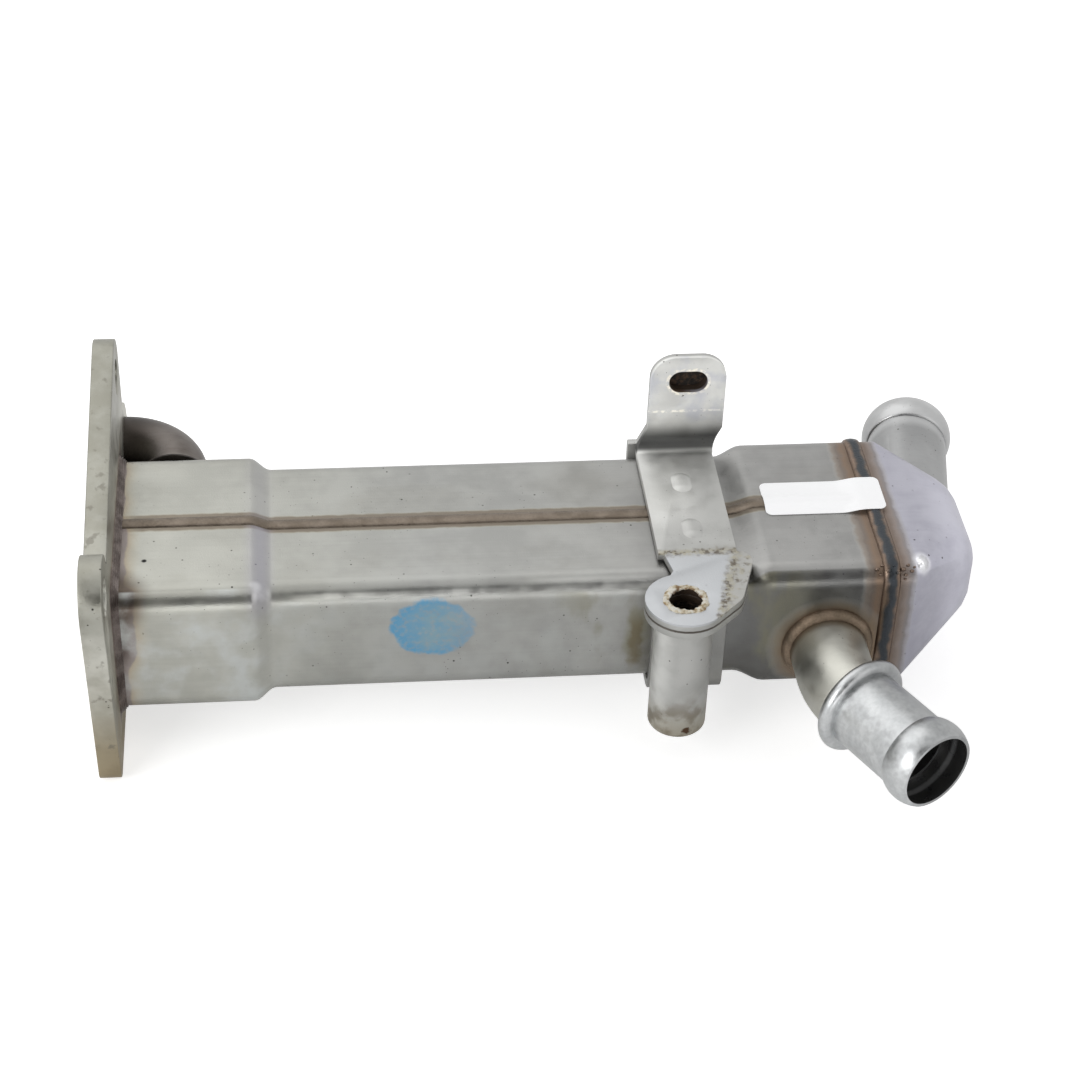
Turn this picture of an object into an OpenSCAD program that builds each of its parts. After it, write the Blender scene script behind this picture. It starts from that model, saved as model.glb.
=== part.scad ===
// Exhaust gas cooler: a straight tube bundle in a welded two-shell steel casing,
// with a bolt-on flange at one end, a domed cap at the other and a clamp bracket.
// X runs along the casing from the flange's mating face, Z is the top face's normal.

/* [Flange] */
// Thickness of the mounting flange
flange_t = 5; // [3:0.5:8]
// Bolt hole diameter in the flange
flange_hole_d = 8.5; // [6.5:0.1:10.5]
// Width of the gas window along Y
window_w = 43; // [42:0.5:44]
// Height of the gas window along Z
window_h = 25; // [24:0.5:26]
// Corner radius of the gas window
window_r = 4; // [2:0.5:6]
// Bolt at the rear top corner, Y and Z
bolt_rear_top = [35.5, 33];
// Bolt in the front top lobe, Y and Z
bolt_front_top = [-38.5, 26.5];
// Bolt at the rear bottom corner, Y and Z
bolt_rear_low = [38, -17];
// Radius of the flange's bolt lobes
lobe_r = 9; // [8:0.5:10]
// Front bottom corner of the flange, Y and Z
flange_front_low = [-35.5, -23];
// Rounding of the flange's plain corners
flange_corner_r = 4; // [2:0.5:6]

/* [Casing] */
// Width of the casing's middle along Y
casing_w = 50; // [48:0.5:56]
// Height of the casing's middle along Z
casing_h = 30; // [29:0.5:36]
// Outer corner radius of the casing
casing_r = 5; // [4:0.5:6]
// Sheet thickness of the casing shells
casing_wall = 1.5; // [1:0.1:1.6]
// Length of the casing from flange to end weld
casing_len = 174.4; // [165:0.2:185]
// How much the flange end is belled out on each side, along Y
flange_bell_w = 2.6; // [1:0.1:4]
// How much the flange end is belled out on each side, along Z
flange_bell_h = 1.6; // [1:0.1:3]
// Length of the belled flange end
flange_bell_len = 30.3; // [28:0.1:34]
// Length of the taper behind the flange bell
flange_taper = 4.8; // [3:0.1:8]
// How much the cap end is belled out on each side, along Y
cap_bell_w = 1.7; // [1:0.1:3]
// How much the cap end is belled out on each side, along Z
cap_bell_h = 1.9; // [1:0.1:3]
// Length of the belled cap end
cap_bell_len = 27; // [26:0.1:30]
// Length of the taper before the cap bell
cap_taper = 7; // [4:0.1:9]

/* [End cap] */
// Length of the cap's straight collar
collar_len = 5.6; // [4:0.1:7]
// Length of the dome beyond the collar
dome_len = 18.4; // [17:0.2:21]
// How much the dome's blunt end is drawn in on each side along Y
dome_draw_w = 7.7; // [5.7:0.1:9.7]
// How much the dome's blunt end is drawn in on each side along Z
dome_draw_h = 1.9; // [1.4:0.1:3.4]
// Rounding of the dome's blunt end
dome_r = 12; // [10:0.5:13]
// How far the blunt end stands above the casing's axis
dome_rise = 1.8; // [0:0.1:2.5]
// Sheet thickness of the cap
cap_wall = 1.5; // [1:0.1:1.6]

/* [Tube bundle] */
// Outer diameter of a gas tube
tube_d = 6.6; // [5:0.1:7]
// Wall of a gas tube
tube_wall = 0.5; // [0.3:0.1:0.8]
// Columns of tubes along Y
tube_cols = 5; // [5:1:5]
// Rows of tubes along Z
tube_rows = 3; // [3:1:3]
// Pitch of the tubes along Y
tube_pitch_y = 8.6; // [8:0.1:8.8]
// Pitch of the tubes along Z
tube_pitch_z = 8.2; // [7.8:0.1:8.6]
// Thickness of the header plates
header_t = 2.5; // [1.5:0.1:3]
// Thickness of a baffle
baffle_t = 1.2; // [0.8:0.1:2]
// Number of baffles
baffle_count = 3; // [3:1:3]
// Room between a baffle or header and the casing, and round a tube
bundle_gap = 0.1; // [0.05:0.05:0.3]

/* [Coolant inlet elbow] */
// Outer diameter of the elbow tube
elbow_d = 16; // [14:0.5:17]
// Wall of the elbow tube
elbow_wall = 1.2; // [0.8:0.1:2]
// Bend radius of the elbow
elbow_bend_r = 12.2; // [11:0.1:14]
// Height of the elbow above the casing's axis
elbow_z = 6; // [4:0.5:7]
// Straight run between the bend and the casing wall
elbow_run = 4.5; // [3:0.1:8]
// Width of the flange land round the elbow
elbow_land = 3.5; // [3:0.5:5]

/* [Coolant outlet] */
// Distance of the outlet tube before the end weld
outlet_back = 13.2; // [12.8:0.1:14]
// Height of the outlet tube above the casing's axis
outlet_z = -4.5; // [-6:0.5:0]
// Outer diameter of the outlet tube
outlet_d = 17.6; // [16:0.1:19]
// Wall of the outlet tube
outlet_wall = 1.3; // [0.8:0.1:2]
// Straight run of the outlet tube outside the wall
outlet_run = 8.8; // [6:0.1:14]
// Bend radius of the outlet tube
outlet_bend_r = 22; // [18:0.5:30]
// Angle of the outlet tube's bend
outlet_angle = 29; // [20:1:40]
// Outer diameter of the hose nipple
nipple_d = 18.4; // [17:0.1:20]
// Bore of the hose nipple
nipple_bore = 15.8; // [13:0.1:16.4]
// Length of the hose nipple
nipple_len = 27.5; // [24:0.1:32]
// Outer diameter of the stop bead
stop_bead_d = 23.4; // [21:0.1:26]
// Width of the stop bead
stop_bead_w = 3.6; // [2:0.1:5]
// Outer diameter of the hose bead at the nipple's end
hose_bead_d = 20.7; // [20:0.1:22]
// Width of the hose bead
hose_bead_w = 7.6; // [6:0.1:9]
// Wall of the rolled hose bead
hose_bead_wall = 0.75; // [0.6:0.05:1]

/* [Gas outlet pipe] */
// Distance of the gas pipe beyond the end weld, where it crosses the casing's rear plane
gas_pipe_x = 16; // [15:0.1:17]
// Height of the gas pipe above the casing's axis
gas_pipe_z = 1; // [-2:0.5:3]
// Lean of the gas pipe away from the flange
gas_pipe_angle = 11; // [6:1:14]
// Outer diameter of the gas pipe
gas_pipe_d = 19.6; // [18:0.1:20]
// Bore of the gas pipe
gas_pipe_bore = 16.6; // [14:0.1:17]
// Length of the gas pipe beyond the casing's rear plane
gas_pipe_len = 25.6; // [24:0.2:32]
// Outer diameter of the bead at the gas pipe's end
gas_bead_d = 22.2; // [21.5:0.1:24]

/* [Bracket] */
// Sheet thickness of the bracket straps
strap_t = 2; // [1.5:0.1:2.5]
// Width of the straps
strap_w = 18; // [16:0.5:20]
// Distance of the strap's middle before the end weld
strap_back = 43.6; // [42.6:0.1:48]
// Side step of the ear, along X
ear_step = 2.6; // [1:0.1:5]
// Height of the ear's slot above the casing's axis
ear_slot_z = 35.8; // [34:0.2:38]
// Length of the ear's slot along X
slot_len = 9; // [8:0.1:10]
// Width of the ear's slot along Z
slot_w = 5.6; // [5:0.1:6]
// Height of the ear above its slot's middle
ear_top = 6.7; // [6:0.1:9]
// Rounding of the ear's top corners
ear_corner_r = 6; // [3:0.5:8]
// Height of the plain foot below the ear's side step
ear_foot = 1.5; // [1:0.1:3]
// Height over which the ear steps sideways
ear_rise = 5.5; // [3:0.1:8]
// Outer radius of the strap's bend into the ear
ear_bend_r = 5; // [4:0.1:6]
// Width of the lower strap
lower_w = 17; // [15:0.5:19]
// Distance of the lower strap to the left of the upper one
lower_shift = 2; // [0:0.1:3]
// How much narrower the rear layer of the ear is on each side
ear_inset = 0.8; // [0.4:0.1:1.5]
// Length of the strap's pressed ribs
rib_len = 7.5; // [6:0.1:10]
// Width of the strap's pressed ribs
rib_w = 4.6; // [3:0.1:6]
// Height of the strap's pressed ribs
rib_h = 0.8; // [0.4:0.1:1.2]
// Distance between the strap's pressed ribs
rib_pitch = 17.8; // [15:0.2:20]
// Distance of the ribs' middle in front of the casing's axis
rib_shift = 0.8; // [0:0.1:2]
// Hole in the tab and the sleeve
tab_hole_d = 8.5; // [6.5:0.1:9]
// Radius of the tab round its hole
tab_r = 9.1; // [8:0.1:10]
// Distance of the tab's hole before the casing's front plane
tab_reach = 10.4; // [10.2:0.1:13]
// Distance of the tab's hole to the left of the strap's middle
tab_shift = 5; // [3:0.1:7]
// Radius of the tab's side lobe
side_lobe_r = 4; // [3:0.1:5]
// Radius of the tab's shoulder between the hole and the lobe
shoulder_r = 6.8; // [6:0.1:8]
// Outer diameter of the spacer sleeve
sleeve_d = 13.2; // [12:0.1:14]
// Length of the spacer sleeve
sleeve_len = 31.3; // [25:0.1:40]
// Room between the sleeve and the strap's bend
sleeve_room = 0.4; // [0.2:0.1:0.8]
// Rounding of the sleeve's lower rim
sleeve_rim_r = 1.2; // [0.5:0.1:1.8]

/* [Welds] */
// Width of the seam weld along the casing
seam_w = 3.4; // [2:0.1:5]
// Height of the seam weld
seam_h = 0.6; // [0.3:0.1:1]
// Width of the end weld
end_weld_w = 4; // [3:0.1:5]
// Height of the end weld
end_weld_h = 0.9; // [0.4:0.1:1.4]
// Leg of the fillet weld at the flange
flange_weld_leg = 1.6; // [1:0.1:2]
// Leg of the fillet welds round the pipes
pipe_weld_leg = 1.8; // [1:0.1:2]
// Room between welded pipes and their holes
weld_gap = 0.05; // [0.05:0.05:0.2]

/* [Hidden] */
$fn = 64;
eps = 0.01;
corner_steps = 10;
taper_steps = 6;
weld_steps = 4;
// height of the end weld's edges, as a share of its middle
weld_edge = 0.1;
// angles at which the tab's outline leaves the strap's edge and ends at its notch
lobe_start = 60;
notch_end = -255;
casing_end = flange_t + casing_len;
taper1_start = flange_t + flange_bell_len;
taper2_start = casing_end - cap_bell_len - cap_taper;
cap_w = casing_w + 2 * cap_bell_w;
cap_h = casing_h + 2 * cap_bell_h;
bell_w = casing_w + 2 * flange_bell_w;
bell_h = casing_h + 2 * flange_bell_h;
dome_tip = casing_end + collar_len + dome_len;
dome_end_w = cap_w - 2 * dome_draw_w;
dome_end_h = cap_h - 2 * dome_draw_h;
strap_x = casing_end - strap_back;
strap_z = casing_h / 2 + seam_h;
strap_left = strap_x - strap_w / 2;
ear_x = strap_x + ear_step;
ear_y = casing_w / 2;
ear_z = strap_z + ear_bend_r;
ear_top_z = ear_slot_z + ear_top;
lower_x = strap_x - lower_shift;
tab_x = strap_x - tab_shift;
tab_y = -casing_w / 2 - tab_reach;
tab_start = strap_w / 2 - casing_w / 2 - ear_step;
sleeve_top = strap_z - strap_t;
tab_bend_r = tab_reach - sleeve_d / 2 - strap_t - sleeve_room;
tab_root = -casing_w / 2 - strap_t - tab_bend_r;
outlet_x = casing_end - outlet_back;
elbow_y = bell_w / 2 + elbow_run + elbow_bend_r;
tube_count = tube_cols * tube_rows;
TUBES = [for (i = [1 : tube_count]) str("gas_tube_", i)];
BAFFLES = [for (i = [1 : baffle_count]) str("baffle_", i)];

// A smooth step from 0 to 1
function ease(t) = t <= 0 ? 0 : t >= 1 ? 1 : t * t * (3 - 2 * t);
// How far the casing's wall stands out from its middle section at x
function bell(x, at_flange, at_cap) = at_flange * (1 - ease((x - taper1_start) / flange_taper))
    + at_cap * ease((x - taper2_start) / cap_taper);
// Half width and half height of the casing's outside at x
function half_w(x) = casing_w / 2 + bell(x, flange_bell_w, cap_bell_w);
function half_h(x) = casing_h / 2 + bell(x, flange_bell_h, cap_bell_h);
// Sections of the casing along x
STATIONS = concat([flange_t], [for (i = [0 : taper_steps]) taper1_start + flange_taper * i / taper_steps],
    [for (i = [0 : taper_steps]) taper2_start + cap_taper * i / taper_steps], [casing_end]);
// Points of one quarter arc from angle a
function arc(cy, cz, r, a) = [for (i = [0 : corner_steps]) let (b = a + 90 * i / corner_steps)
    [cy + r * cos(b), cz + r * sin(b)]];
// A rounded rectangle of half sizes hw and hh, as points in Y and Z
function rounded(hw, hh, r) = concat(arc(hw - r, hh - r, r, 0), arc(r - hw, hh - r, r, 90),
    arc(r - hw, r - hh, r, 180), arc(hw - r, r - hh, r, 270));
function reversed(list) = [for (i = [len(list) - 1 : -1 : 0]) list[i]];
// The casing's section at x, shrunk inwards by inset
function casing_section(x, inset) = reversed(rounded(half_w(x) - inset, half_h(x) - inset, casing_r - inset));

// A solid through sections given as points in Y and Z, one for each x
module loft(xs, sections) {
    n = len(sections[0]);
    m = len(xs);
    points = [for (i = [0 : m - 1]) for (p = sections[i]) [xs[i], p[0], p[1]]];
    sides = [for (i = [0 : m - 2]) for (j = [0 : n - 1]) let (k = (j + 1) % n)
        [i * n + j, i * n + k, (i + 1) * n + k, (i + 1) * n + j]];
    start_cap = [for (j = [n - 1 : -1 : 0]) j];
    end_cap_face = [for (j = [0 : n - 1]) (m - 1) * n + j];
    polyhedron(points, concat(sides, [start_cap, end_cap_face]));
}

// A prism along X of a shape drawn in Y and Z
module along_x(x0, x1) {
    translate([x0, 0, 0]) multmatrix([[0, 0, 1, 0], [1, 0, 0, 0], [0, 1, 0, 0], [0, 0, 0, 1]])
        linear_extrude(x1 - x0) children();
}
// A prism along Y of a shape drawn in X and Z
module along_y(y0, y1) {
    translate([0, y1, 0]) rotate([90, 0, 0]) linear_extrude(y1 - y0) children();
}
// The section of a pipe
module ring(d, wall) difference() {
    circle(d / 2);
    circle(d / 2 - wall);
}
// A rectangle with round corners, from exact arcs
module round_rect(w, h, r) {
    square([w - 2 * r, h], center = true);
    square([w, h - 2 * r], center = true);
    for (sx = [-1, 1], sy = [-1, 1]) translate([sx * (w / 2 - r), sy * (h / 2 - r)]) circle(r);
}
// Places a pipe's own +Z axis along -Y
module to_front() { rotate([90, 0, 0]) children(); }

// Flange
module flange_outline() {
    // plate from lobe to lobe, with a straight top edge
    hull() {
        translate(bolt_rear_top) circle(lobe_r);
        translate(bolt_rear_low) circle(lobe_r);
        translate(flange_front_low) circle(flange_corner_r);
        translate([flange_front_low[0], bolt_front_top[1] - lobe_r]) circle(lobe_r);
    }
    // front lobe stands proud of the top edge
    hull() {
        translate(bolt_front_top) circle(lobe_r);
        translate(flange_front_low) circle(flange_corner_r);
    }
    // land of the elbow's port
    translate([elbow_y, elbow_z]) circle(elbow_d / 2 + elbow_land);
}
module mounting_flange() color("#b9b9ae") difference() {
    along_x(0, flange_t) flange_outline();
    along_x(-1, flange_t + 1) round_rect(window_w, window_h, window_r);
    for (p = [bolt_rear_top, bolt_front_top, bolt_rear_low])
        translate([-1, p[0], p[1]]) rotate([0, 90, 0]) cylinder(d = flange_hole_d, h = flange_t + 2);
    translate([-1, elbow_y, elbow_z]) rotate([0, 90, 0])
        cylinder(d = elbow_d - 2 * elbow_wall, h = flange_t + 2);
}

// Casing
module casing_solid(xs, inset) loft(xs, [for (x = xs) casing_section(x, inset)]);
// The half of the casing on the negative Y side
module half_shell() difference() {
    casing_solid(STATIONS, 0);
    casing_solid(concat([0], STATIONS, [casing_end + flange_t]), casing_wall);
    translate([0, 0, -bell_h]) cube([2 * casing_len, bell_w, 2 * bell_h]);
}
module front_shell() color("#b3b3aa") difference() {
    half_shell();
    translate([outlet_x, 0, outlet_z]) to_front() cylinder(d = outlet_d + 2 * weld_gap, h = cap_w);
}
module rear_shell() color("#aeaea6") difference() {
    mirror([0, 1, 0]) half_shell();
    translate([flange_t + elbow_bend_r, 0, elbow_z]) rotate([-90, 0, 0])
        cylinder(d = elbow_d + 2 * weld_gap, h = bell_w);
}

// Dome of the cap between rounded sections, shrunk inwards by inset
module dome(inset) {
    hull() {
        along_x(casing_end + collar_len - eps, casing_end + collar_len)
            polygon(rounded(cap_w / 2 - inset, cap_h / 2 - inset, casing_r - inset));
        for (sy = [-1, 1], sz = [-1, 1])
            translate([dome_tip - dome_r, sy * (dome_end_w / 2 - dome_r),
                dome_rise + sz * (dome_end_h / 2 - dome_r)]) sphere(dome_r - inset, $fn = 32);
    }
    along_x(casing_end, casing_end + collar_len)
        polygon(rounded(cap_w / 2 - inset, cap_h / 2 - inset, casing_r - inset));
}
// Places a pipe's own +Z axis along the gas pipe, from the casing's rear plane
module on_gas_pipe() {
    translate([casing_end + gas_pipe_x, casing_w / 2, gas_pipe_z]) rotate([-90, 0, -gas_pipe_angle])
        children();
}
module end_cap() color("#a9a8b4") difference() {
    dome(0);
    dome(cap_wall);
    along_x(casing_end - 1, casing_end + eps)
        polygon(rounded(cap_w / 2 - cap_wall, cap_h / 2 - cap_wall, casing_r - cap_wall));
    on_gas_pipe() translate([0, 0, -casing_w / 2]) cylinder(d = gas_pipe_d + 2 * weld_gap, h = casing_w);
}

// Tube bundle
function tube_y(i) = ((i - 1) % tube_cols - (tube_cols - 1) / 2) * tube_pitch_y;
function tube_z(i) = (floor((i - 1) / tube_cols) - (tube_rows - 1) / 2) * tube_pitch_z;
module tube_holes(x, t) for (i = [1 : tube_count])
    translate([x - 1, tube_y(i), tube_z(i)]) rotate([0, 90, 0])
        cylinder(d = tube_d + 2 * bundle_gap, h = t + 2);
module header(x, hw, hh) difference() {
    along_x(x, x + header_t) polygon(rounded(hw - casing_wall - bundle_gap, hh - casing_wall - bundle_gap,
        casing_r - casing_wall - bundle_gap));
    tube_holes(x, header_t);
}
module flange_header() color("#8f8f88") header(flange_t, bell_w / 2, bell_h / 2);
module cap_header() color("#8f8f88") header(casing_end - header_t, cap_w / 2, cap_h / 2);
module gas_tube(i) color("#9a9a94") translate([flange_t, tube_y(i), tube_z(i)]) rotate([0, 90, 0])
    difference() {
        cylinder(d = tube_d, h = casing_len);
        translate([0, 0, -1]) cylinder(d = tube_d - 2 * tube_wall, h = casing_len + 2);
    }
// Baffles hold the tubes and leave a window at alternate sides
module baffle(i) {
    span = taper2_start - taper1_start - flange_taper;
    x = taper1_start + flange_taper + span * i / (baffle_count + 1) - baffle_t / 2;
    side = i % 2 == 0 ? 1 : -1;
    color("#94948c") difference() {
        along_x(x, x + baffle_t) polygon(rounded(casing_w / 2 - casing_wall - bundle_gap,
            casing_h / 2 - casing_wall - bundle_gap, casing_r - casing_wall - bundle_gap));
        tube_holes(x, baffle_t);
        translate([x - 1, side > 0 ? 1.5 * tube_pitch_y : -casing_w, -casing_h])
            cube([baffle_t + 2, casing_w - 1.5 * tube_pitch_y, 2 * casing_h]);
    }
}

// Coolant inlet elbow: from the flange round into the rear wall
module inlet_elbow() color("#9d9a92") {
    translate([flange_t, elbow_y - elbow_bend_r, elbow_z]) rotate_extrude(angle = 90)
        translate([elbow_bend_r, 0]) ring(elbow_d, elbow_wall);
    translate([flange_t + elbow_bend_r, elbow_y - elbow_bend_r, elbow_z]) to_front()
        linear_extrude(elbow_run + casing_wall) ring(elbow_d, elbow_wall);
}

// Coolant outlet: from the front wall, round towards the cap
// Places a piece's own +Z axis along the nipple, from the end of the outlet tube
module at_nipple() {
    translate([outlet_x + outlet_bend_r * (1 - cos(outlet_angle)),
        -cap_w / 2 - outlet_run - outlet_bend_r * sin(outlet_angle), outlet_z])
        rotate([90, 0, outlet_angle]) children();
}
module outlet_tube() color("#a5a29a") {
    translate([outlet_x, -cap_w / 2 + casing_wall, outlet_z]) to_front()
        linear_extrude(outlet_run + casing_wall) ring(outlet_d, outlet_wall);
    translate([outlet_x + outlet_bend_r, -cap_w / 2 - outlet_run, outlet_z]) rotate([0, 0, 180])
        rotate_extrude(angle = outlet_angle) translate([outlet_bend_r, 0]) ring(outlet_d, outlet_wall);
}
// A round bead on a pipe, from its axis outwards: w along the pipe, d across it
module bead_profile(d, w, z) {
    r = w / 2;
    translate([d / 2 - r, z]) circle(r);
    translate([0, z - r]) square([d / 2 - r, w]);
}
// A barrel-shaped bead at a pipe's end, from its axis outwards, starting at z
module barrel_profile(d, z) translate([0, z]) intersection() {
    translate([d / 2 - hose_bead_w, hose_bead_w / 2]) circle(hose_bead_w);
    square([d / 2, hose_bead_w]);
}
module hose_nipple() color("#c9ccd0") at_nipple() rotate_extrude() difference() {
    union() {
        square([nipple_d / 2, nipple_len - hose_bead_w / 2]);
        bead_profile(stop_bead_d, stop_bead_w, stop_bead_w / 2);
        barrel_profile(hose_bead_d, nipple_len - hose_bead_w);
    }
    translate([0, -1]) square([nipple_bore / 2, nipple_len + 2]);
    barrel_profile(hose_bead_d - 2 * hose_bead_wall, nipple_len - hose_bead_w);
}
module gas_outlet_pipe() color("#a8a6a6") difference() {
    on_gas_pipe() rotate_extrude() difference() {
        union() {
            translate([0, -casing_w / 3])
                square([gas_pipe_d / 2, gas_pipe_len + casing_w / 3 - hose_bead_w / 2]);
            barrel_profile(gas_bead_d, gas_pipe_len - hose_bead_w);
        }
        translate([0, -casing_w]) square([gas_pipe_bore / 2, 2 * casing_w + gas_pipe_len]);
    }
    dome(cap_wall);
}

// Bracket
// Outline of the ear in X and Z, with its side step
module ear_outline(inset) {
    left = strap_left + inset;
    right = strap_left + strap_w - inset;
    step_z = strap_z + ear_foot;
    top = ear_top_z - 2 * inset;
    round_z = top - ear_corner_r;
    difference() {
        union() {
            polygon([[left, strap_z], [right, strap_z], [right, step_z],
                [right + ear_step, step_z + ear_rise], [right + ear_step, round_z],
                [left + ear_step, round_z], [left + ear_step, step_z + ear_rise], [left, step_z]]);
            translate([left + ear_step + ear_corner_r, round_z - eps])
                square([right - left - 2 * ear_corner_r, ear_corner_r + eps]);
            for (x = [left + ear_corner_r, right - ear_corner_r])
                translate([x + ear_step, round_z]) circle(ear_corner_r);
        }
        translate([ear_x, ear_slot_z]) round_rect(slot_len, slot_w, slot_w / 2 - eps);
    }
}
// Points of an arc round c from angle a to angle b
function arc_points(c, r, a, b) = [for (i = [0 : 2 * corner_steps])
    let (t = a + (b - a) * i / (2 * corner_steps)) c + r * [cos(t), sin(t)]];
// Angle at which the outer tangent leaves the circle round a for the one round b
function tangent_turn(a, ra, b, rb) = atan2(b[1] - a[1], b[0] - a[0]) + acos((ra - rb) / norm(b - a));
// Outline of the tab in X and Y, with its side lobe
module tab_outline() {
    hole = [tab_x, tab_y];
    lobe = [strap_left + strap_w - side_lobe_r / 4, 3 * side_lobe_r / 4 - casing_w / 2];
    shoulder = hole + [shoulder_r, shoulder_r / 2];
    lobe_turn = tangent_turn(lobe, side_lobe_r, shoulder, shoulder_r);
    shoulder_turn = tangent_turn(shoulder, shoulder_r, hole, tab_r);
    polygon(concat([[strap_left + ear_step / 2, tab_start], [strap_left + strap_w, tab_start]],
        arc_points(lobe, side_lobe_r, lobe_start, lobe_turn),
        arc_points(shoulder, shoulder_r, lobe_turn, shoulder_turn),
        arc_points(hole, tab_r, shoulder_turn, notch_end), [[strap_left + ear_step, -casing_w / 2]]));
}
module tab_hole() translate([tab_x, tab_y, 0]) cylinder(d = tab_hole_d, h = 2 * casing_h);
// A low rounded rib along Y, pressed up from the strap
module rib(y) {
    r = (rib_w * rib_w / 4 + rib_h * rib_h) / (2 * rib_h);
    half = rib_len / 2 - rib_w / 2;
    translate([strap_x, y, strap_z + strap_t]) intersection() {
        translate([0, 0, rib_h - r]) {
            for (side = [-1, 1]) translate([0, side * half, 0]) sphere(r);
            rotate([90, 0, 0]) cylinder(r = r, h = 2 * half, center = true);
        }
        translate([0, 0, rib_h - strap_t / 2]) cube([2 * r, 2 * rib_len, strap_t], center = true);
    }
}
module upper_strap() color("#b4b4ae") {
    // flat run over the casing
    along_x(strap_left, strap_left + strap_w)
        translate([tab_start, strap_z]) square([ear_y - ear_bend_r - tab_start, strap_t]);
    // bend up into the ear, cut to the ear's outline
    intersection() {
        along_x(strap_left, strap_left + strap_w + ear_step) {
            translate([ear_y - ear_bend_r, ear_z]) intersection() {
                ring(2 * ear_bend_r, strap_t);
                translate([0, -ear_bend_r]) square(ear_bend_r);
            }
            translate([ear_y - strap_t, ear_z]) square([strap_t, ear_top_z - ear_z]);
        }
        along_y(0, casing_w) ear_outline(0);
    }
    for (side = [-1, 1]) rib(side * rib_pitch / 2 - rib_shift);
}
module upper_tab() color("#b4b4ae") difference() {
    translate([0, 0, strap_z]) linear_extrude(strap_t) tab_outline();
    tab_hole();
}
module lower_strap() color("#a8a8a0") {
    low = -casing_h / 2 - seam_h;
    rear_top = strap_z + ear_foot;
    along_x(lower_x - lower_w / 2, lower_x + lower_w / 2) {
        // cradle under the casing, open at the top
        intersection() {
            difference() {
                translate([0, low - strap_t + casing_w])
                    round_rect(casing_w + 2 * strap_t, 2 * casing_w, casing_r);
                translate([0, low + casing_w]) round_rect(casing_w, 2 * casing_w, casing_r - strap_t);
            }
            union() {
                translate([-casing_w, low - casing_h])
                    square([casing_w, sleeve_top - tab_bend_r - low + casing_h]);
                translate([0, low - casing_h]) square([casing_w, rear_top - low + casing_h]);
            }
        }
        // bend out into the tab
        translate([tab_root, sleeve_top - tab_bend_r]) intersection() {
            ring(2 * (tab_bend_r + strap_t), strap_t);
            square(tab_bend_r + strap_t);
        }
    }
    // rear layer of the ear
    along_y(ear_y, ear_y + strap_t) intersection() {
        ear_outline(ear_inset);
        translate([strap_left, rear_top]) square([2 * strap_w, ear_top_z]);
    }
}
module lower_tab() color("#a8a8a0") difference() {
    translate([0, 0, sleeve_top]) linear_extrude(strap_t) intersection() {
        tab_outline();
        translate([strap_left - strap_w, tab_root - 2 * strap_w]) square([3 * strap_w, 2 * strap_w]);
    }
    tab_hole();
}
module spacer_sleeve() color("#a6a39b") translate([tab_x, tab_y, sleeve_top - sleeve_len]) rotate_extrude()
    difference() {
        union() {
            translate([0, sleeve_rim_r]) square([sleeve_d / 2, sleeve_len - sleeve_rim_r]);
            square([sleeve_d / 2 - sleeve_rim_r, sleeve_len]);
            translate([sleeve_d / 2 - sleeve_rim_r, sleeve_rim_r]) circle(sleeve_rim_r);
        }
        translate([0, -1]) square([tab_hole_d / 2, sleeve_len + 2]);
    }

// Welds
// A low round bead on the casing's middle line; side is 1 on top and -1 below
function bead_section(x, side) = [for (i = [0 : corner_steps]) let (a = 180 * i / corner_steps)
    [seam_w / 2 * cos(a), side * (half_h(x) + seam_h * sin(a))]];
SEAM_STATIONS = concat([flange_t + flange_weld_leg], [for (i = [1 : len(STATIONS) - 2]) STATIONS[i]],
    [casing_end - end_weld_w / 2]);
module top_seam_weld() color("#7d6a55")
    loft(SEAM_STATIONS, [for (x = SEAM_STATIONS) reversed(bead_section(x, 1))]);
module bottom_seam_weld() color("#7d6a55")
    loft(SEAM_STATIONS, [for (x = SEAM_STATIONS) bead_section(x, -1)]);
// Height of the end weld's rounded bead at a share of its half width
function bead_rise(t) = end_weld_h * (weld_edge + (1 - weld_edge) * sqrt(1 - t * t));
END_STATIONS = [for (i = [-weld_steps : weld_steps]) i / weld_steps];
module end_weld() color("#4f4a52") difference() {
    loft([for (t = END_STATIONS) casing_end + t * end_weld_w / 2], [for (t = END_STATIONS)
        let (h = bead_rise(t)) reversed(rounded(cap_w / 2 + h, cap_h / 2 + h, casing_r + h))]);
    along_x(casing_end - end_weld_w, casing_end + end_weld_w)
        polygon(rounded(cap_w / 2, cap_h / 2, casing_r));
}
module flange_weld() color("#5a524c") {
    step = flange_weld_leg / weld_steps;
    for (i = [0 : weld_steps - 1]) {
        leg = flange_weld_leg - step * i;
        along_x(flange_t + step * i, flange_t + step * (i + 1)) difference() {
            polygon(rounded(bell_w / 2 + leg, bell_h / 2 + leg, casing_r + leg));
            polygon(rounded(bell_w / 2, bell_h / 2, casing_r));
        }
    }
}
// A fillet ring round a pipe of diameter d standing on a wall
module pipe_fillet(d) rotate_extrude() translate([d / 2, 0]) intersection() {
    circle(pipe_weld_leg);
    translate([weld_gap, 0]) square(pipe_weld_leg);
}
module inlet_weld() color("#5a524c") translate([flange_t + elbow_bend_r, bell_w / 2, elbow_z])
    rotate([-90, 0, 0]) pipe_fillet(elbow_d);
module outlet_weld() color("#7a6652") translate([outlet_x, -cap_w / 2, outlet_z]) to_front()
    pipe_fillet(outlet_d);

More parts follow.
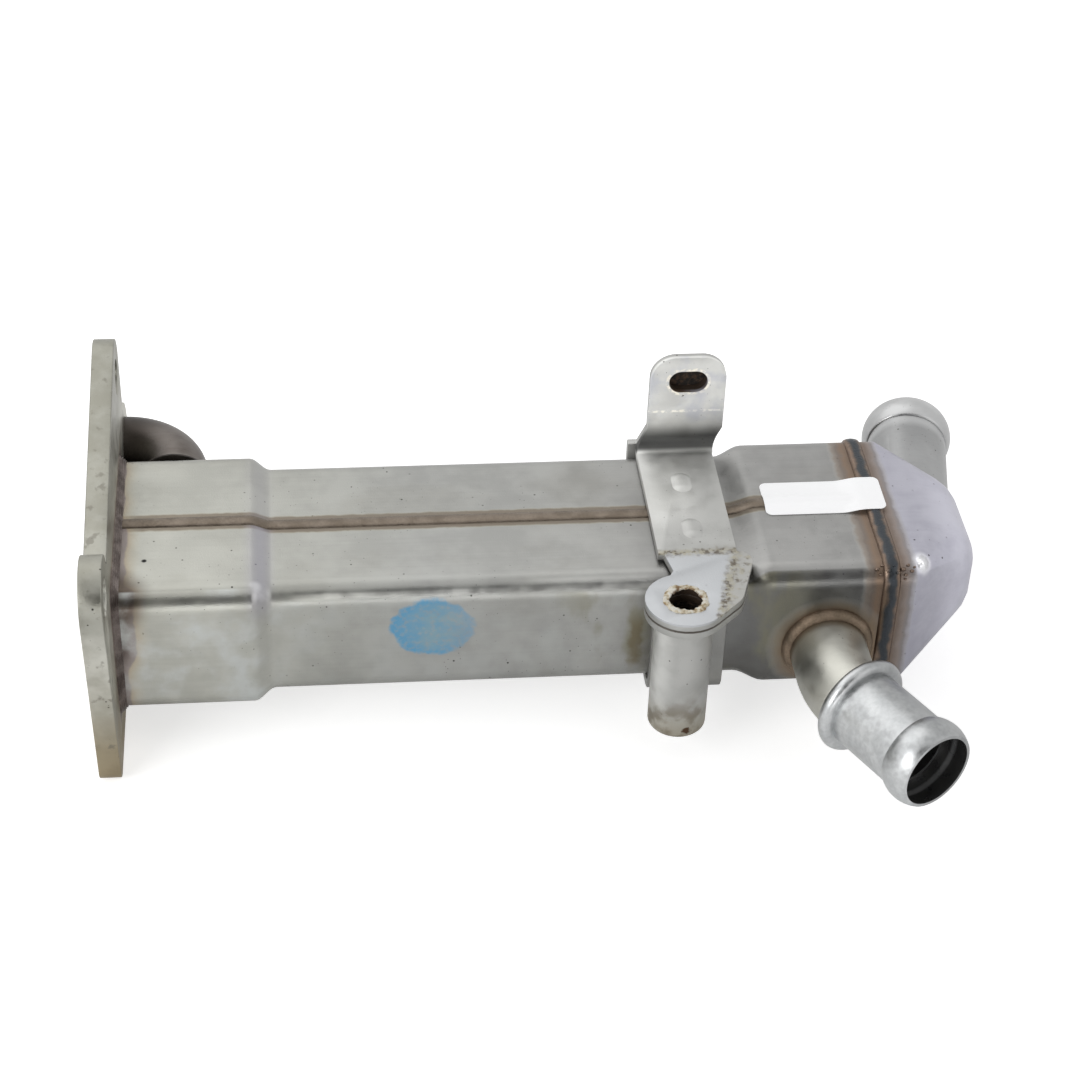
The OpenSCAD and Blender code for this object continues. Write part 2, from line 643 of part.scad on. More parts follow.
mounting_flange();
front_shell();
rear_shell();
end_cap();
flange_header();
cap_header();
inlet_elbow();
outlet_tube();
hose_nipple();
gas_outlet_pipe();
upper_strap();
upper_tab();
lower_strap();
lower_tab();
spacer_sleeve();
top_seam_weld();
bottom_seam_weld();
end_weld();
flange_weld();
inlet_weld();
outlet_weld();
for (i = [1 : tube_count]) gas_tube(i);
for (i = [1 : baffle_count]) baffle(i);
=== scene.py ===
import math

import bpy
from mathutils import Matrix, Vector


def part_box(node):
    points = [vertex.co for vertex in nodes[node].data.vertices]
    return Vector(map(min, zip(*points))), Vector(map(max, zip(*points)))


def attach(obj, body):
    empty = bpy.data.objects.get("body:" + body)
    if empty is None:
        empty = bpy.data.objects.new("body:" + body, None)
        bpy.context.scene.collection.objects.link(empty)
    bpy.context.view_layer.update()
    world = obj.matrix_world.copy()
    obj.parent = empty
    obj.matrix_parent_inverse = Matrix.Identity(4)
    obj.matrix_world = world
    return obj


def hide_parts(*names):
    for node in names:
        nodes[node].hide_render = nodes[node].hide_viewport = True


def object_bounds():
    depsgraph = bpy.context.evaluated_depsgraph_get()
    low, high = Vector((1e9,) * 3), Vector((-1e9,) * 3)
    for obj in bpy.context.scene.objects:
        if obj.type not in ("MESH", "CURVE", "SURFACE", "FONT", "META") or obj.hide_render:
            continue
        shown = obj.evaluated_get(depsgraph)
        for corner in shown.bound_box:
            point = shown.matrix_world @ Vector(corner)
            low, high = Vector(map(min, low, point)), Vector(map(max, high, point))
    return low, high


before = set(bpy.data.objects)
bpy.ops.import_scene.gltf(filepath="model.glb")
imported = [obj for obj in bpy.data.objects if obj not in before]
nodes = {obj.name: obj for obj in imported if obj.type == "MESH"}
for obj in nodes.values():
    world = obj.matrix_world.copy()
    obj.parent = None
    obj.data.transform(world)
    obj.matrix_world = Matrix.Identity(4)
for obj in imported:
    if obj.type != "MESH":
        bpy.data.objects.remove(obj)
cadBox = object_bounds()
mm = 0.001
print("frame loaded with", len(nodes), "nodes")

# main places on the cooler, read from the frame, in metres
shellLow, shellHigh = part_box("front_shell")
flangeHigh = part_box("mounting_flange")[1]
sleeveLow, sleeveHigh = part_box("spacer_sleeve")
outletLow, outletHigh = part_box("outlet_weld")
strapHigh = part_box("upper_strap")[1]
tabLow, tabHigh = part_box("upper_tab")
endWeldLow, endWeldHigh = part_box("end_weld")
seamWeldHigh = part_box("top_seam_weld")[1]

# the same places in millimetres, as the finishes read them
casingStart = shellLow.x / mm
casingEnd = shellHigh.x / mm
flangeBack = flangeHigh.x / mm
outletX = (outletLow.x + outletHigh.x) / 2 / mm
outletZ = (outletLow.z + outletHigh.z) / 2 / mm
outletRadius = (outletHigh.x - outletLow.x) / 2 / mm
sleeveX = (sleeveLow.x + sleeveHigh.x) / 2 / mm
sleeveY = (sleeveLow.y + sleeveHigh.y) / 2 / mm
sleeveFoot = sleeveLow.z / mm
tabTop = tabHigh.z / mm
tabUnder = tabLow.z / mm

# the two open pipes: a point on the axis, its direction and the widest inner radius, in millimetres
nippleAxis = {"at": (168.96, -46.17, -4.5), "along": (0.4848, -0.8746, 0.0), "radius": 10.2}
gasPipeAxis = {"at": (195.4, 25.0, 1.0), "along": (0.1908, 0.9816, 0.0), "radius": 9.0}


# small helpers for shader trees

def newShader(name):
    material = bpy.data.materials.new(name)
    material.use_nodes = True
    tree = material.node_tree
    return material, tree, tree.nodes["Principled BSDF"]


def newTree(name):
    material, tree, shader = newShader(name)
    place = tree.nodes.new("ShaderNodeTexCoord")
    inMillimetres = tree.nodes.new("ShaderNodeVectorMath")
    inMillimetres.operation = "SCALE"
    inMillimetres.inputs["Scale"].default_value = 1000.0
    tree.links.new(place.outputs["Object"], inMillimetres.inputs[0])
    return material, tree, shader, inMillimetres.outputs[0]


def plug(tree, value, socket):
    if isinstance(value, (int, float)):
        socket.default_value = value
    elif isinstance(value, tuple):
        socket.default_value = (*value, 1.0) if len(value) == 3 and socket.type == "RGBA" else value
    else:
        tree.links.new(value, socket)


def setShader(tree, shader, base, metallic, rough):
    plug(tree, base, shader.inputs["Base Color"])
    plug(tree, metallic, shader.inputs["Metallic"])
    plug(tree, rough, shader.inputs["Roughness"])


def calc(tree, operation, a, b=0.0, clamp=False):
    step = tree.nodes.new("ShaderNodeMath")
    step.operation = operation
    step.use_clamp = clamp
    plug(tree, a, step.inputs[0])
    plug(tree, b, step.inputs[1])
    return step.outputs[0]


def plus(tree, first, *others):
    for other in others:
        first = calc(tree, "ADD", first, other)
    return first


def times(tree, first, *others):
    for other in others:
        first = calc(tree, "MULTIPLY", first, other)
    return first


def minus(tree, a, b):
    return calc(tree, "SUBTRACT", a, b)


def larger(tree, a, b):
    return calc(tree, "MAXIMUM", a, b)


def awayFrom(tree, value, middle):
    return calc(tree, "ABSOLUTE", minus(tree, value, middle))


def squares(tree, a, b):
    return plus(tree, calc(tree, "POWER", a, 2.0), calc(tree, "POWER", b, 2.0))


def lengthOf(tree, a, b):
    return calc(tree, "SQRT", squares(tree, a, b))


def wavering(tree, value, noise, amount):
    return plus(tree, value, times(tree, minus(tree, noise, 0.5), amount))


def mixColour(tree, share, a, b, blend="MIX"):
    mixer = tree.nodes.new("ShaderNodeMix")
    mixer.data_type = "RGBA"
    mixer.blend_type = blend
    plug(tree, share, mixer.inputs["Factor"])
    plug(tree, a, mixer.inputs["A"])
    plug(tree, b, mixer.inputs["B"])
    return mixer.outputs["Result"]


def shaded(tree, base, amount):
    return mixColour(tree, 1.0, base, amount, "MULTIPLY")


# a tone of 0 leaves the colour as it is, above 0 lightens it, below 0 darkens it
def toned(tree, base, tone):
    return shaded(tree, base, plus(tree, tone, 1.0))


# a fade is (from, to) or (from, to, amount at from, amount at to)
def spread(tree, value, low, high, toLow=0.0, toHigh=1.0):
    ranger = tree.nodes.new("ShaderNodeMapRange")
    ranger.interpolation_type = "SMOOTHSTEP"
    plug(tree, value, ranger.inputs["Value"])
    for key, number in (("From Min", low), ("From Max", high), ("To Min", toLow), ("To Max", toHigh)):
        ranger.inputs[key].default_value = number
    return ranger.outputs["Result"]


def noiseAt(tree, place, scale, detail=4.0, stretch=(1, 1, 1)):
    mapping = tree.nodes.new("ShaderNodeMapping")
    mapping.inputs["Scale"].default_value = stretch
    tree.links.new(place, mapping.inputs["Vector"])
    noise = tree.nodes.new("ShaderNodeTexNoise")
    noise.inputs["Scale"].default_value = scale
    noise.inputs["Detail"].default_value = detail
    tree.links.new(mapping.outputs["Vector"], noise.inputs["Vector"])
    return noise.outputs["Fac"]


def specksAt(tree, place, scale, size):
    cells = tree.nodes.new("ShaderNodeTexVoronoi")
    cells.inputs["Scale"].default_value = scale
    tree.links.new(place, cells.inputs["Vector"])
    return spread(tree, cells.outputs["Distance"], size * 0.5, size, 1.0, 0.0)


def rampOf(tree, value, stops):
    ramp = tree.nodes.new("ShaderNodeValToRGB")
    edges = ramp.color_ramp.elements
    while len(edges) < len(stops):
        edges.new(0.5)
    for edge, (at, colour) in zip(edges, stops):
        edge.position = at
        edge.color = colour if len(colour) == 4 else (*colour, 1.0)
    tree.links.new(value, ramp.inputs["Fac"])
    return ramp.outputs["Color"], ramp.outputs["Alpha"]


def partsOf(tree, place):
    split = tree.nodes.new("ShaderNodeSeparateXYZ")
    tree.links.new(place, split.inputs[0])
    return split.outputs["X"], split.outputs["Y"], split.outputs["Z"]


def distanceTo(tree, place, point):
    away = tree.nodes.new("ShaderNodeVectorMath")
    away.operation = "DISTANCE"
    tree.links.new(place, away.inputs[0])
    away.inputs[1].default_value = point
    return away.outputs["Value"]


# how far a point lies from another one along a level direction
def levelDistance(tree, place, at, along):
    x, y = partsOf(tree, place)[:2]
    overX = times(tree, minus(tree, x, at[0]), along[0])
    overY = times(tree, minus(tree, y, at[1]), along[1])
    return plus(tree, overX, overY)


def bumpFrom(tree, shader, height, strength, distance):
    bump = tree.nodes.new("ShaderNodeBump")
    bump.inputs["Strength"].default_value = strength
    bump.inputs["Distance"].default_value = distance
    tree.links.new(height, bump.inputs["Height"])
    if shader.inputs["Normal"].is_linked:
        tree.links.new(shader.inputs["Normal"].links[0].from_socket, bump.inputs["Normal"])
    tree.links.new(bump.outputs["Normal"], shader.inputs["Normal"])


# colours that welding heat leaves on bare steel, from the bead outwards, with how strongly they cover
endStops = [
    (0.00, (0.165, 0.120, 0.090, 0.95)),
    (0.30, (0.215, 0.150, 0.105, 0.92)),
    (0.55, (0.185, 0.150, 0.125, 0.85)),
    (0.75, (0.265, 0.225, 0.190, 0.75)),
    (0.90, (0.360, 0.340, 0.310, 0.35)),
    (1.00, (0.400, 0.390, 0.370, 0.00)),
]
capStops = [
    (0.00, (0.200, 0.148, 0.112, 0.95)),
    (0.25, (0.172, 0.130, 0.100, 0.92)),
    (0.50, (0.235, 0.190, 0.158, 0.85)),
    (0.68, (0.200, 0.175, 0.155, 0.75)),
    (0.84, (0.330, 0.310, 0.300, 0.45)),
    (1.00, (0.400, 0.390, 0.390, 0.00)),
]
flangeStops = [
    (0.00, (0.110, 0.088, 0.080, 0.95)),
    (0.24, (0.205, 0.172, 0.165, 0.90)),
    (0.40, (0.235, 0.200, 0.195, 0.85)),
    (0.48, (0.390, 0.320, 0.230, 0.65)),
    (0.66, (0.430, 0.385, 0.300, 0.42)),
    (1.00, (0.450, 0.440, 0.380, 0.00)),
]
ringStops = [
    (0.00, (0.085, 0.062, 0.040, 0.90)),
    (0.20, (0.215, 0.160, 0.110, 0.80)),
    (0.55, (0.260, 0.215, 0.165, 0.55)),
    (1.00, (0.400, 0.390, 0.370, 0.00)),
]
seamStops = [
    (0.00, (0.195, 0.165, 0.130, 0.92)),
    (0.78, (0.190, 0.158, 0.122, 0.90)),
    (0.90, (0.300, 0.280, 0.220, 0.50)),
    (1.00, (0.450, 0.440, 0.380, 0.00)),
]


def tinted(tree, base, distance, reach, stops, noise, ripple=0.35):
    bent = wavering(tree, distance, noise, reach * ripple)
    share = calc(tree, "DIVIDE", bent, reach, clamp=True)
    colour, strength = rampOf(tree, share, stops)
    return mixColour(tree, strength, base, colour)


sheetLook = {
    "pit": (0.045, 0.040, 0.036),
    "smallPit": (0.070, 0.064, 0.058),
    "mottle": 0.06,
    "specks": 0.9,
}


# bare sheet steel, with a soft mottle, faint rolling lines and dark specks
def sheetSteel(name, look, rolled=0.12):
    material, tree, shader, place = newTree(name)
    clouds = noiseAt(tree, place, sheetLook["mottle"], 6.0)
    lines = noiseAt(tree, place, 1.0, 3.0, (0.02, 1.4, 1.4))
    blotch = noiseAt(tree, place, sheetLook["mottle"] * 4.0, 5.0)
    blend = plus(tree, times(tree, clouds, 0.62), times(tree, blotch, 0.38 - rolled),
                 times(tree, lines, rolled))
    base = mixColour(tree, spread(tree, blend, 0.36, 0.64), look["dark"], look["light"])
    # small pits in loose groups, few of them large
    group = times(tree, spread(tree, noiseAt(tree, place, 0.05, 3.0), 0.42, 0.60), sheetLook["specks"])
    large = times(tree, specksAt(tree, place, 0.30, 0.095), group)
    small = times(tree, specksAt(tree, place, 0.62, 0.10), group, 0.75)
    base = mixColour(tree, large, base, sheetLook["pit"])
    base = mixColour(tree, small, base, sheetLook["smallPit"])
    setShader(tree, shader, base, 1.0, spread(tree, blotch, 0.3, 0.7, *look["roughness"]))
    grain = plus(tree, noiseAt(tree, place, 3.0, 3.0), times(tree, lines, rolled * 4.0))
    bumpFrom(tree, shader, grain, 0.10, 0.0004)
    return material, tree, shader, place, base


# places and fades are in millimetres
casingLook = {
    "dark": (0.840, 0.840, 0.840),
    "light": (1.000, 1.000, 1.000),
    "roughness": (0.31, 0.42),
    "tones": [(0.00, (0.415, 0.415, 0.376)), (0.35, (0.372, 0.374, 0.358)), (0.70, (0.360, 0.360, 0.345)),
              (0.80, (0.332, 0.330, 0.320)), (1.00, (0.322, 0.320, 0.312))],
    "seamReach": 3.5,
    "flangeReach": 6.2,
    "flangeTintRear": (0.0, 4.0, 0.0, 1.2),
    "flangeTintLow": (2.0, -6.0, 0.0, 2.2),
    "flangeTintFront": (-22.0, -25.0, 0.0, -2.0),
    # painted shade on the front top corner beside the flange
    "flangeCornerShadeAt": (5.6, -25.0, 14.6),
    "flangeCornerShadeFade": (3.0, 9.5, 0.92, 0.0),
    "flangeCornerShade": (0.075, 0.055, 0.042),
    "taperIn": (33.0, 37.6),
    "taperOut": (37.6, 41.5, 1.0, 0.0),
    "taperFront": (3.0, -3.0, 0.2, 0.55),
    "taperTop": (6.0, 14.0),
    "taperTint": (0.335, 0.325, 0.385),
    "frontWall": (-24.2, -24.8),
    "offFront": (-24.0, -20.0, 0.0, 60.0),
    "smearFade": (30.0, 60.0, 0.85, 0.2125),
    "smear": (0.470, 0.490, 0.485),
    "grime": (0.190, 0.180, 0.150),
    "bellPaintedLight": (20.0, 60.0, 1.22, 1.04),
    "paintedShadePastBracket": (112.0, 148.0, 1.0, 0.48),
    # painted light on the front top corner's dark line
    "edgeAt": -24.05,
    "edgeWidth": (0.1, 0.6, 1.0, 0.0),
    "edgeHeight": (11.9, 12.3),
    "edgeAlong": (76.0, 98.0, 1.25, 0.35),
    "cornerTurn": (-21.8, -22.8),
    "cornerHeight": (12.2, 12.8),
    "cornerAlong": (92.0, 104.0, 0.0, 0.38),
    "pastLeftBell": (42.0, 48.0),
    "beforeBracket": (122.0, 128.0, 1.0, 0.0),
    "oliveIn": (96.0, 116.0),
    "oliveOut": (150.0, 168.0, 0.6, 0.0),
    "olive": (0.215, 0.205, 0.140),
    "runAt": 122.0,
    "runWidth": (0.5, 2.2, 0.65, 0.0),
    "runTop": (8.0, 1.0),
    "runFoot": (-10.5, -8.0),
    "run": (0.150, 0.118, 0.062),
    "scarAt": (11.85, -13.89, 16.6),
    "scarFade": (0.35, 0.75, 1.0, 0.0),
    "scar": (0.02, 0.02, 0.02),
    # painted glint on the taper's corner
    "glintAt": (36.6, -23.6, 16.1),
    "glintFade": (0.2, 2.0, 0.32, 0.0),
    "glint": (0.95, 0.95, 0.97),
    "endReach": 5.2,
    "endBead": 1.6,
    "ringReach": 4.6,
    "ringBead": 0.8,
    "paintAt": (75.5, 3.6),
    "paintHalf": (9.6, 8.0),
    "paint": (0.100, 0.310, 0.500),
    "paintWorn": (0.215, 0.345, 0.410),
}


def casingWobble(tree, place):
    return noiseAt(tree, place, 0.35, 3.0)


# tints along the seam and the flange weld, painted shade on the front top corner beside the flange, and
# lavender on the taper behind the bell
def heatAndShadeNearFlange(tree, place, base):
    look = casingLook
    x, y, z = partsOf(tree, place)
    seam = calc(tree, "ABSOLUTE", y)
    base = tinted(tree, base, seam, look["seamReach"], seamStops, casingWobble(tree, place), 0.25)
    fromFlange = plus(tree, minus(tree, x, flangeBack), spread(tree, y, *look["flangeTintRear"]),
                      spread(tree, z, *look["flangeTintLow"]), spread(tree, y, *look["flangeTintFront"]))
    patchy = noiseAt(tree, place, 0.16, 6.0)
    base = tinted(tree, base, fromFlange, look["flangeReach"], flangeStops, patchy, 0.42)
    # painted shade where the front top corner mirrors the flange
    flangeCornerShade = spread(tree, distanceTo(tree, place, look["flangeCornerShadeAt"]), *look["flangeCornerShadeFade"])
    base = mixColour(tree, flangeCornerShade, base, look["flangeCornerShade"])
    onTaper = times(tree, spread(tree, x, *look["taperIn"]), spread(tree, x, *look["taperOut"]),
                    spread(tree, y, *look["taperFront"]), spread(tree, z, *look["taperTop"]))
    return mixColour(tree, onTaper, base, look["taperTint"])


# between the bells the front top corner gets painted light on the lower half of its dark line, and beside
# the bracket
def cornerPaintedLight(tree, x, y, z):
    look = casingLook
    edge = times(tree, spread(tree, awayFrom(tree, y, look["edgeAt"]), *look["edgeWidth"]),
                 spread(tree, z, *look["edgeHeight"]), spread(tree, x, *look["edgeAlong"]))
    corner = times(tree, spread(tree, y, *look["cornerTurn"]), spread(tree, z, *look["cornerHeight"]),
                   spread(tree, x, *look["cornerAlong"]))
    return times(tree, plus(tree, edge, corner), spread(tree, x, *look["pastLeftBell"]),
                 spread(tree, x, *look["beforeBracket"]))


# grime all over, and on the front wall bluish smears, painted light and shade, olive stains and one brown
# run, with painted light on the front top corner
def soilAndLightCasing(tree, place, base):
    look = casingLook
    x, y, z = partsOf(tree, place)
    frontWall = spread(tree, y, *look["frontWall"])
    smears = times(tree, spread(tree, noiseAt(tree, place, 0.11, 7.0), 0.43, 0.72), frontWall,
                   spread(tree, x, *look["smearFade"]))
    base = mixColour(tree, smears, base, look["smear"])
    grime = spread(tree, noiseAt(tree, place, 0.05, 8.0, (0.6, 1.0, 1.0)), 0.52, 0.72, 0.0, 0.22)
    base = mixColour(tree, grime, base, look["grime"])
    # painted light at the flange bell and painted shade beyond the bracket
    lit = times(tree, spread(tree, x, *look["bellPaintedLight"]), spread(tree, x, *look["paintedShadePastBracket"]))
    base = toned(tree, base, times(tree, minus(tree, lit, 1.0), frontWall))
    base = toned(tree, base, cornerPaintedLight(tree, x, y, z))
    blots = spread(tree, noiseAt(tree, place, 0.10, 6.0, (1.3, 1.0, 0.7)), 0.44, 0.64)
    olive = times(tree, blots, spread(tree, x, *look["oliveIn"]), spread(tree, x, *look["oliveOut"]),
                  frontWall)
    base = mixColour(tree, olive, base, look["olive"])
    fromRun = wavering(tree, awayFrom(tree, x, look["runAt"]), casingWobble(tree, place), 3.0)
    run = times(tree, spread(tree, fromRun, *look["runWidth"]), spread(tree, z, *look["runTop"]),
                spread(tree, z, *look["runFoot"]), frontWall)
    return mixColour(tree, run, base, look["run"])


# tints along the end weld and round the outlet's weld ring
def heatNearEnd(tree, place, base):
    look = casingLook
    x, y, z = partsOf(tree, place)
    wobble = casingWobble(tree, place)
    fromEnd = minus(tree, casingEnd - look["endBead"], x)
    base = tinted(tree, base, fromEnd, look["endReach"], endStops, wobble)
    radius = lengthOf(tree, minus(tree, x, outletX), minus(tree, z, outletZ))
    fromRing = plus(tree, minus(tree, radius, outletRadius - look["ringBead"]),
                    spread(tree, y, *look["offFront"]))
    return tinted(tree, base, fromRing, look["ringReach"], ringStops, wobble)


# oval dab of blue paint on the front wall, worn in its middle and thinner at its right
def dabPaint(tree, place, base):
    look = casingLook
    x, y, z = partsOf(tree, place)
    paintX = calc(tree, "DIVIDE", minus(tree, x, look["paintAt"][0]), look["paintHalf"][0])
    paintZ = calc(tree, "DIVIDE", minus(tree, z, look["paintAt"][1]), look["paintHalf"][1])
    oval = squares(tree, paintX, paintZ)
    ragged = wavering(tree, oval, casingWobble(tree, place), 0.7)
    ragged = plus(tree, ragged, spread(tree, y, *look["offFront"]))
    thin = spread(tree, noiseAt(tree, place, 0.8, 7.0), 0.32, 0.55, 0.55, 1.0)
    cover = times(tree, spread(tree, ragged, 0.80, 1.08, 1.0, 0.0),
                  spread(tree, paintX, 0.0, 0.95, 1.0, 0.55), thin)
    streaks = spread(tree, noiseAt(tree, place, 0.35, 6.0, (0.6, 1.0, 1.2)), 0.35, 0.65, 0.45, 1.0)
    worn = times(tree, streaks, spread(tree, oval, 0.35, 0.90, 1.0, 0.10),
                 spread(tree, paintX, -0.7, 0.1, 0.35, 1.0))
    shade = mixColour(tree, worn, look["paint"], look["paintWorn"])
    return mixColour(tree, cover, base, shade), cover


def casingSteel():
    look = casingLook
    material, tree, shader, place, base = sheetSteel("casingSteel", look)
    x = partsOf(tree, place)[0]
    # lighter and warmer towards the flange
    along = spread(tree, x, casingStart, casingEnd)
    base = shaded(tree, base, rampOf(tree, along, look["tones"])[0])
    base = heatAndShadeNearFlange(tree, place, base)
    base = soilAndLightCasing(tree, place, base)
    # one deep scar, and a painted glint on the taper's corner
    scar = spread(tree, distanceTo(tree, place, look["scarAt"]), *look["scarFade"])
    base = mixColour(tree, scar, base, look["scar"])
    glint = spread(tree, distanceTo(tree, place, look["glintAt"]), *look["glintFade"])
    base = mixColour(tree, glint, base, look["glint"])
    base = heatNearEnd(tree, place, base)
    base, cover = dabPaint(tree, place, base)
    tree.links.new(base, shader.inputs["Base Color"])
    dull = larger(tree, times(tree, cover, 0.9), times(tree, glint, 0.5))
    tree.links.new(minus(tree, 1.0, dull), shader.inputs["Metallic"])
    return material


capLook = {
    "dark": (0.370, 0.365, 0.420),
    "light": (0.450, 0.446, 0.500),
    "roughness": (0.34, 0.46),
    "weldReach": 4.6,
    "weldBead": 1.4,
    "tipPaintedLight": (189.0, 199.0, 1.0, 1.27),
    "bumpAt": (187.0, -22.7, 15.5),
    "bumpRise": (0.0, 2.4, 1.0, 0.0),
    # painted glint on the bump
    "bumpGlintFade": (0.7, 3.4, 1.0, 0.0),
    "bumpGlint": (0.95, 0.95, 0.97),
}


def capSteel():
    look = capLook
    material, tree, shader, place, base = sheetSteel("capSteel", look)
    x = partsOf(tree, place)[0]
    fromWeld = minus(tree, x, casingEnd + look["weldBead"])
    base = tinted(tree, base, fromWeld, look["weldReach"], capStops, noiseAt(tree, place, 0.3, 3.0))
    # painted light towards the cap's tip
    base = shaded(tree, base, spread(tree, x, *look["tipPaintedLight"]))
    # small round bump at the front top corner, left by the press, with a painted glint on it
    toBump = distanceTo(tree, place, look["bumpAt"])
    base = mixColour(tree, spread(tree, toBump, *look["bumpGlintFade"]), base, look["bumpGlint"])
    tree.links.new(base, shader.inputs["Base Color"])
    bumpFrom(tree, shader, spread(tree, toBump, *look["bumpRise"]), 1.0, 0.0014)
    return material


flangeLook = {
    "dark": (0.420, 0.412, 0.372),
    "light": (0.590, 0.584, 0.548),
    "roughness": (0.36, 0.50),
    "low": -26.0,
    "high": 42.0,
    "tones": [(0.00, (0.620, 0.525, 0.370)), (0.15, (0.680, 0.595, 0.450)), (0.34, (0.880, 0.865, 0.810)),
              (0.65, (1.000, 1.000, 0.970)), (0.78, (0.640, 0.640, 0.605)), (1.00, (0.570, 0.570, 0.535))],
    "dirtFade": (8.0, -26.0, 0.0, 0.6),
    "dirt": (0.260, 0.215, 0.140),
    "scuff": (0.150, 0.140, 0.115),
    "casingHalf": (27.0, 16.0),
    "weldReach": 5.0,
}


def flangeSteel():
    look = flangeLook
    material, tree, shader, place, base = sheetSteel("flangeSteel", look, rolled=0.0)
    x, y, z = partsOf(tree, place)
    # browner at the foot, darker on the upper edge
    height = calc(tree, "DIVIDE", minus(tree, z, look["low"]), look["high"] - look["low"], clamp=True)
    base = shaded(tree, base, rampOf(tree, height, look["tones"])[0])
    dirt = times(tree, spread(tree, z, *look["dirtFade"]),
                 spread(tree, noiseAt(tree, place, 0.12, 5.0), 0.35, 0.65))
    base = mixColour(tree, dirt, base, look["dirt"])
    scuffs = spread(tree, noiseAt(tree, place, 0.35, 6.0), 0.60, 0.70, 0.0, 0.55)
    base = mixColour(tree, scuffs, base, look["scuff"])
    # heat tint round the casing, on the back face only
    halfY, halfZ = look["casingHalf"]
    besideCasing = minus(tree, calc(tree, "ABSOLUTE", y), halfY)
    aboveCasing = minus(tree, calc(tree, "ABSOLUTE", z), halfZ)
    offBack = spread(tree, x, flangeBack - 0.4, flangeBack - 0.1, 40.0, 0.0)
    nearCasing = plus(tree, larger(tree, besideCasing, aboveCasing), offBack)
    base = tinted(tree, base, nearCasing, look["weldReach"], flangeStops, noiseAt(tree, place, 0.3, 3.0))
    tree.links.new(base, shader.inputs["Base Color"])
    return material


# places and fades are in millimetres
bracketLook = {
    "dark": (0.390, 0.390, 0.375),
    "light": (0.475, 0.475, 0.460),
    "roughness": (0.46, 0.56),
    "waver": 2.4,
    "patchSide": (0.27, 149.3),
    "patchBack": -18.6,
    "cleaned": (0.500, 0.515, 0.535),
    "tab": (-15.5, -17.5),
    "lobe": (137.0, 141.0),
    "dull": (0.310, 0.285, 0.230),
    "dirt": (0.120, 0.094, 0.062),
    "dirtPale": (0.430, 0.405, 0.320),
    "joint": (0.060, 0.048, 0.036),
    "jointFront": (-17.0, -20.0, 0.0, 0.85),
    "holeWall": (4.4, 4.7, 1.0, 0.0),
    # rust, near black as painted shade in the holes
    "rustAndShade": (0.050, 0.033, 0.022),
    "ear": (18.0, 20.0),
    "earFront": (23.6, 24.2, 1.0, 0.0),
    "slotAt": (138.4, 35.8),
    "slotHalf": (4.5, 2.8),
    "slotRim": (0.620, 0.590, 0.520),
    "bendBack": (20.6, 21.8),
    "bendFoot": (16.5, 17.3),
    # painted light and shade on the ear's bend, the strap and the strap's front face
    "bendPaintedLightAndShade": (19.6, 24.8, -0.78, 0.62),
    "strapBack": (20.6, 21.2, 1.0, 0.0),
    "strapTop": (15.5, 16.5),
    "strapPaintedLight": (-12.0, 0.0, 0.0, 0.36),
    "strapRight": (134.0, 142.0, 1.0, 0.1),
    "faceTop": (13.0, 11.0),
    "faceBack": (-24.5, -25.5),
    "faceFront": (-28.6, -27.8, 0.0, -0.30),
    "scaleAt": 27.6,
    "scale": (0.640, 0.620, 0.560),
    "hazeFade": (23.0, 26.0, 0.0, 0.5),
    "haze": (0.300, 0.310, 0.355),
    "sleeveFront": (-27.5, -28.5),
    "yellowHeight": (-6.0, -18.0, 0.0, 0.55),
    "yellowFront": (-26.0, -30.0),
    "yellow": (0.330, 0.285, 0.185),
    "stainHeight": (-2.0, -14.0, 0.0, 0.7),
    "stain": (0.165, 0.135, 0.090),
    "spotFrom": (1.3, 2.3),
    "spotSize": (0.6, 1.2, 1.0, 0.0),
    "spot": (0.085, 0.050, 0.030),
    "earLean": 0.33,
    "bendEnd": (22.5, 29.5),
}


def bracketGrain(tree, place):
    return noiseAt(tree, place, 0.8, 5.0)


def bracketGrit(tree, place):
    return spread(tree, noiseAt(tree, place, 1.0, 8.0), 0.40, 0.56)


# cleaned patch where another bracket was bolted on the tab, dirt along its edges, and the tabs' dark joint
def soilTab(tree, place, base):
    look = bracketLook
    x, y, z = partsOf(tree, place)
    slope, start = look["patchSide"]
    sideLine = plus(tree, times(tree, y, slope), start)
    inPatch = calc(tree, "MINIMUM", minus(tree, sideLine, x), minus(tree, look["patchBack"], y))
    inPatch = wavering(tree, inPatch, bracketGrain(tree, place), look["waver"])
    onTop = spread(tree, z, tabTop - 0.7, tabTop - 0.4)
    onTab = spread(tree, y, *look["tab"])
    patch = times(tree, spread(tree, inPatch, -0.2, 0.4, 0.0, 0.80), onTop)
    base = mixColour(tree, patch, base, look["cleaned"])
    outside = times(tree, spread(tree, inPatch, -0.2, -1.0), spread(tree, x, *look["lobe"]))
    base = mixColour(tree, times(tree, outside, onTop, onTab, 0.12), base, look["dull"])
    nearLine = spread(tree, calc(tree, "ABSOLUTE", inPatch), 0.35, 1.8, 1.0, 0.0)
    lineDirt = times(tree, nearLine, spread(tree, bracketGrit(tree, place), 0.0, 1.0, 0.45, 1.0), onTab)
    blotches = spread(tree, noiseAt(tree, place, 0.55, 5.0), 0.50, 0.66, 0.0, 0.8)
    dirty = times(tree, larger(tree, lineDirt, times(tree, outside, blotches, onTab)), onTop)
    dirtMix = spread(tree, noiseAt(tree, place, 0.7, 8.0), 0.40, 0.60)
    dirtShade = mixColour(tree, dirtMix, look["dirt"], look["dirtPale"])
    base = mixColour(tree, times(tree, dirty, 0.9), base, dirtShade)
    joint = times(tree, spread(tree, awayFrom(tree, z, tabUnder), 0.15, 0.45, 1.0, 0.0),
                  spread(tree, y, *look["jointFront"]))
    return mixColour(tree, joint, base, look["joint"]), dirty
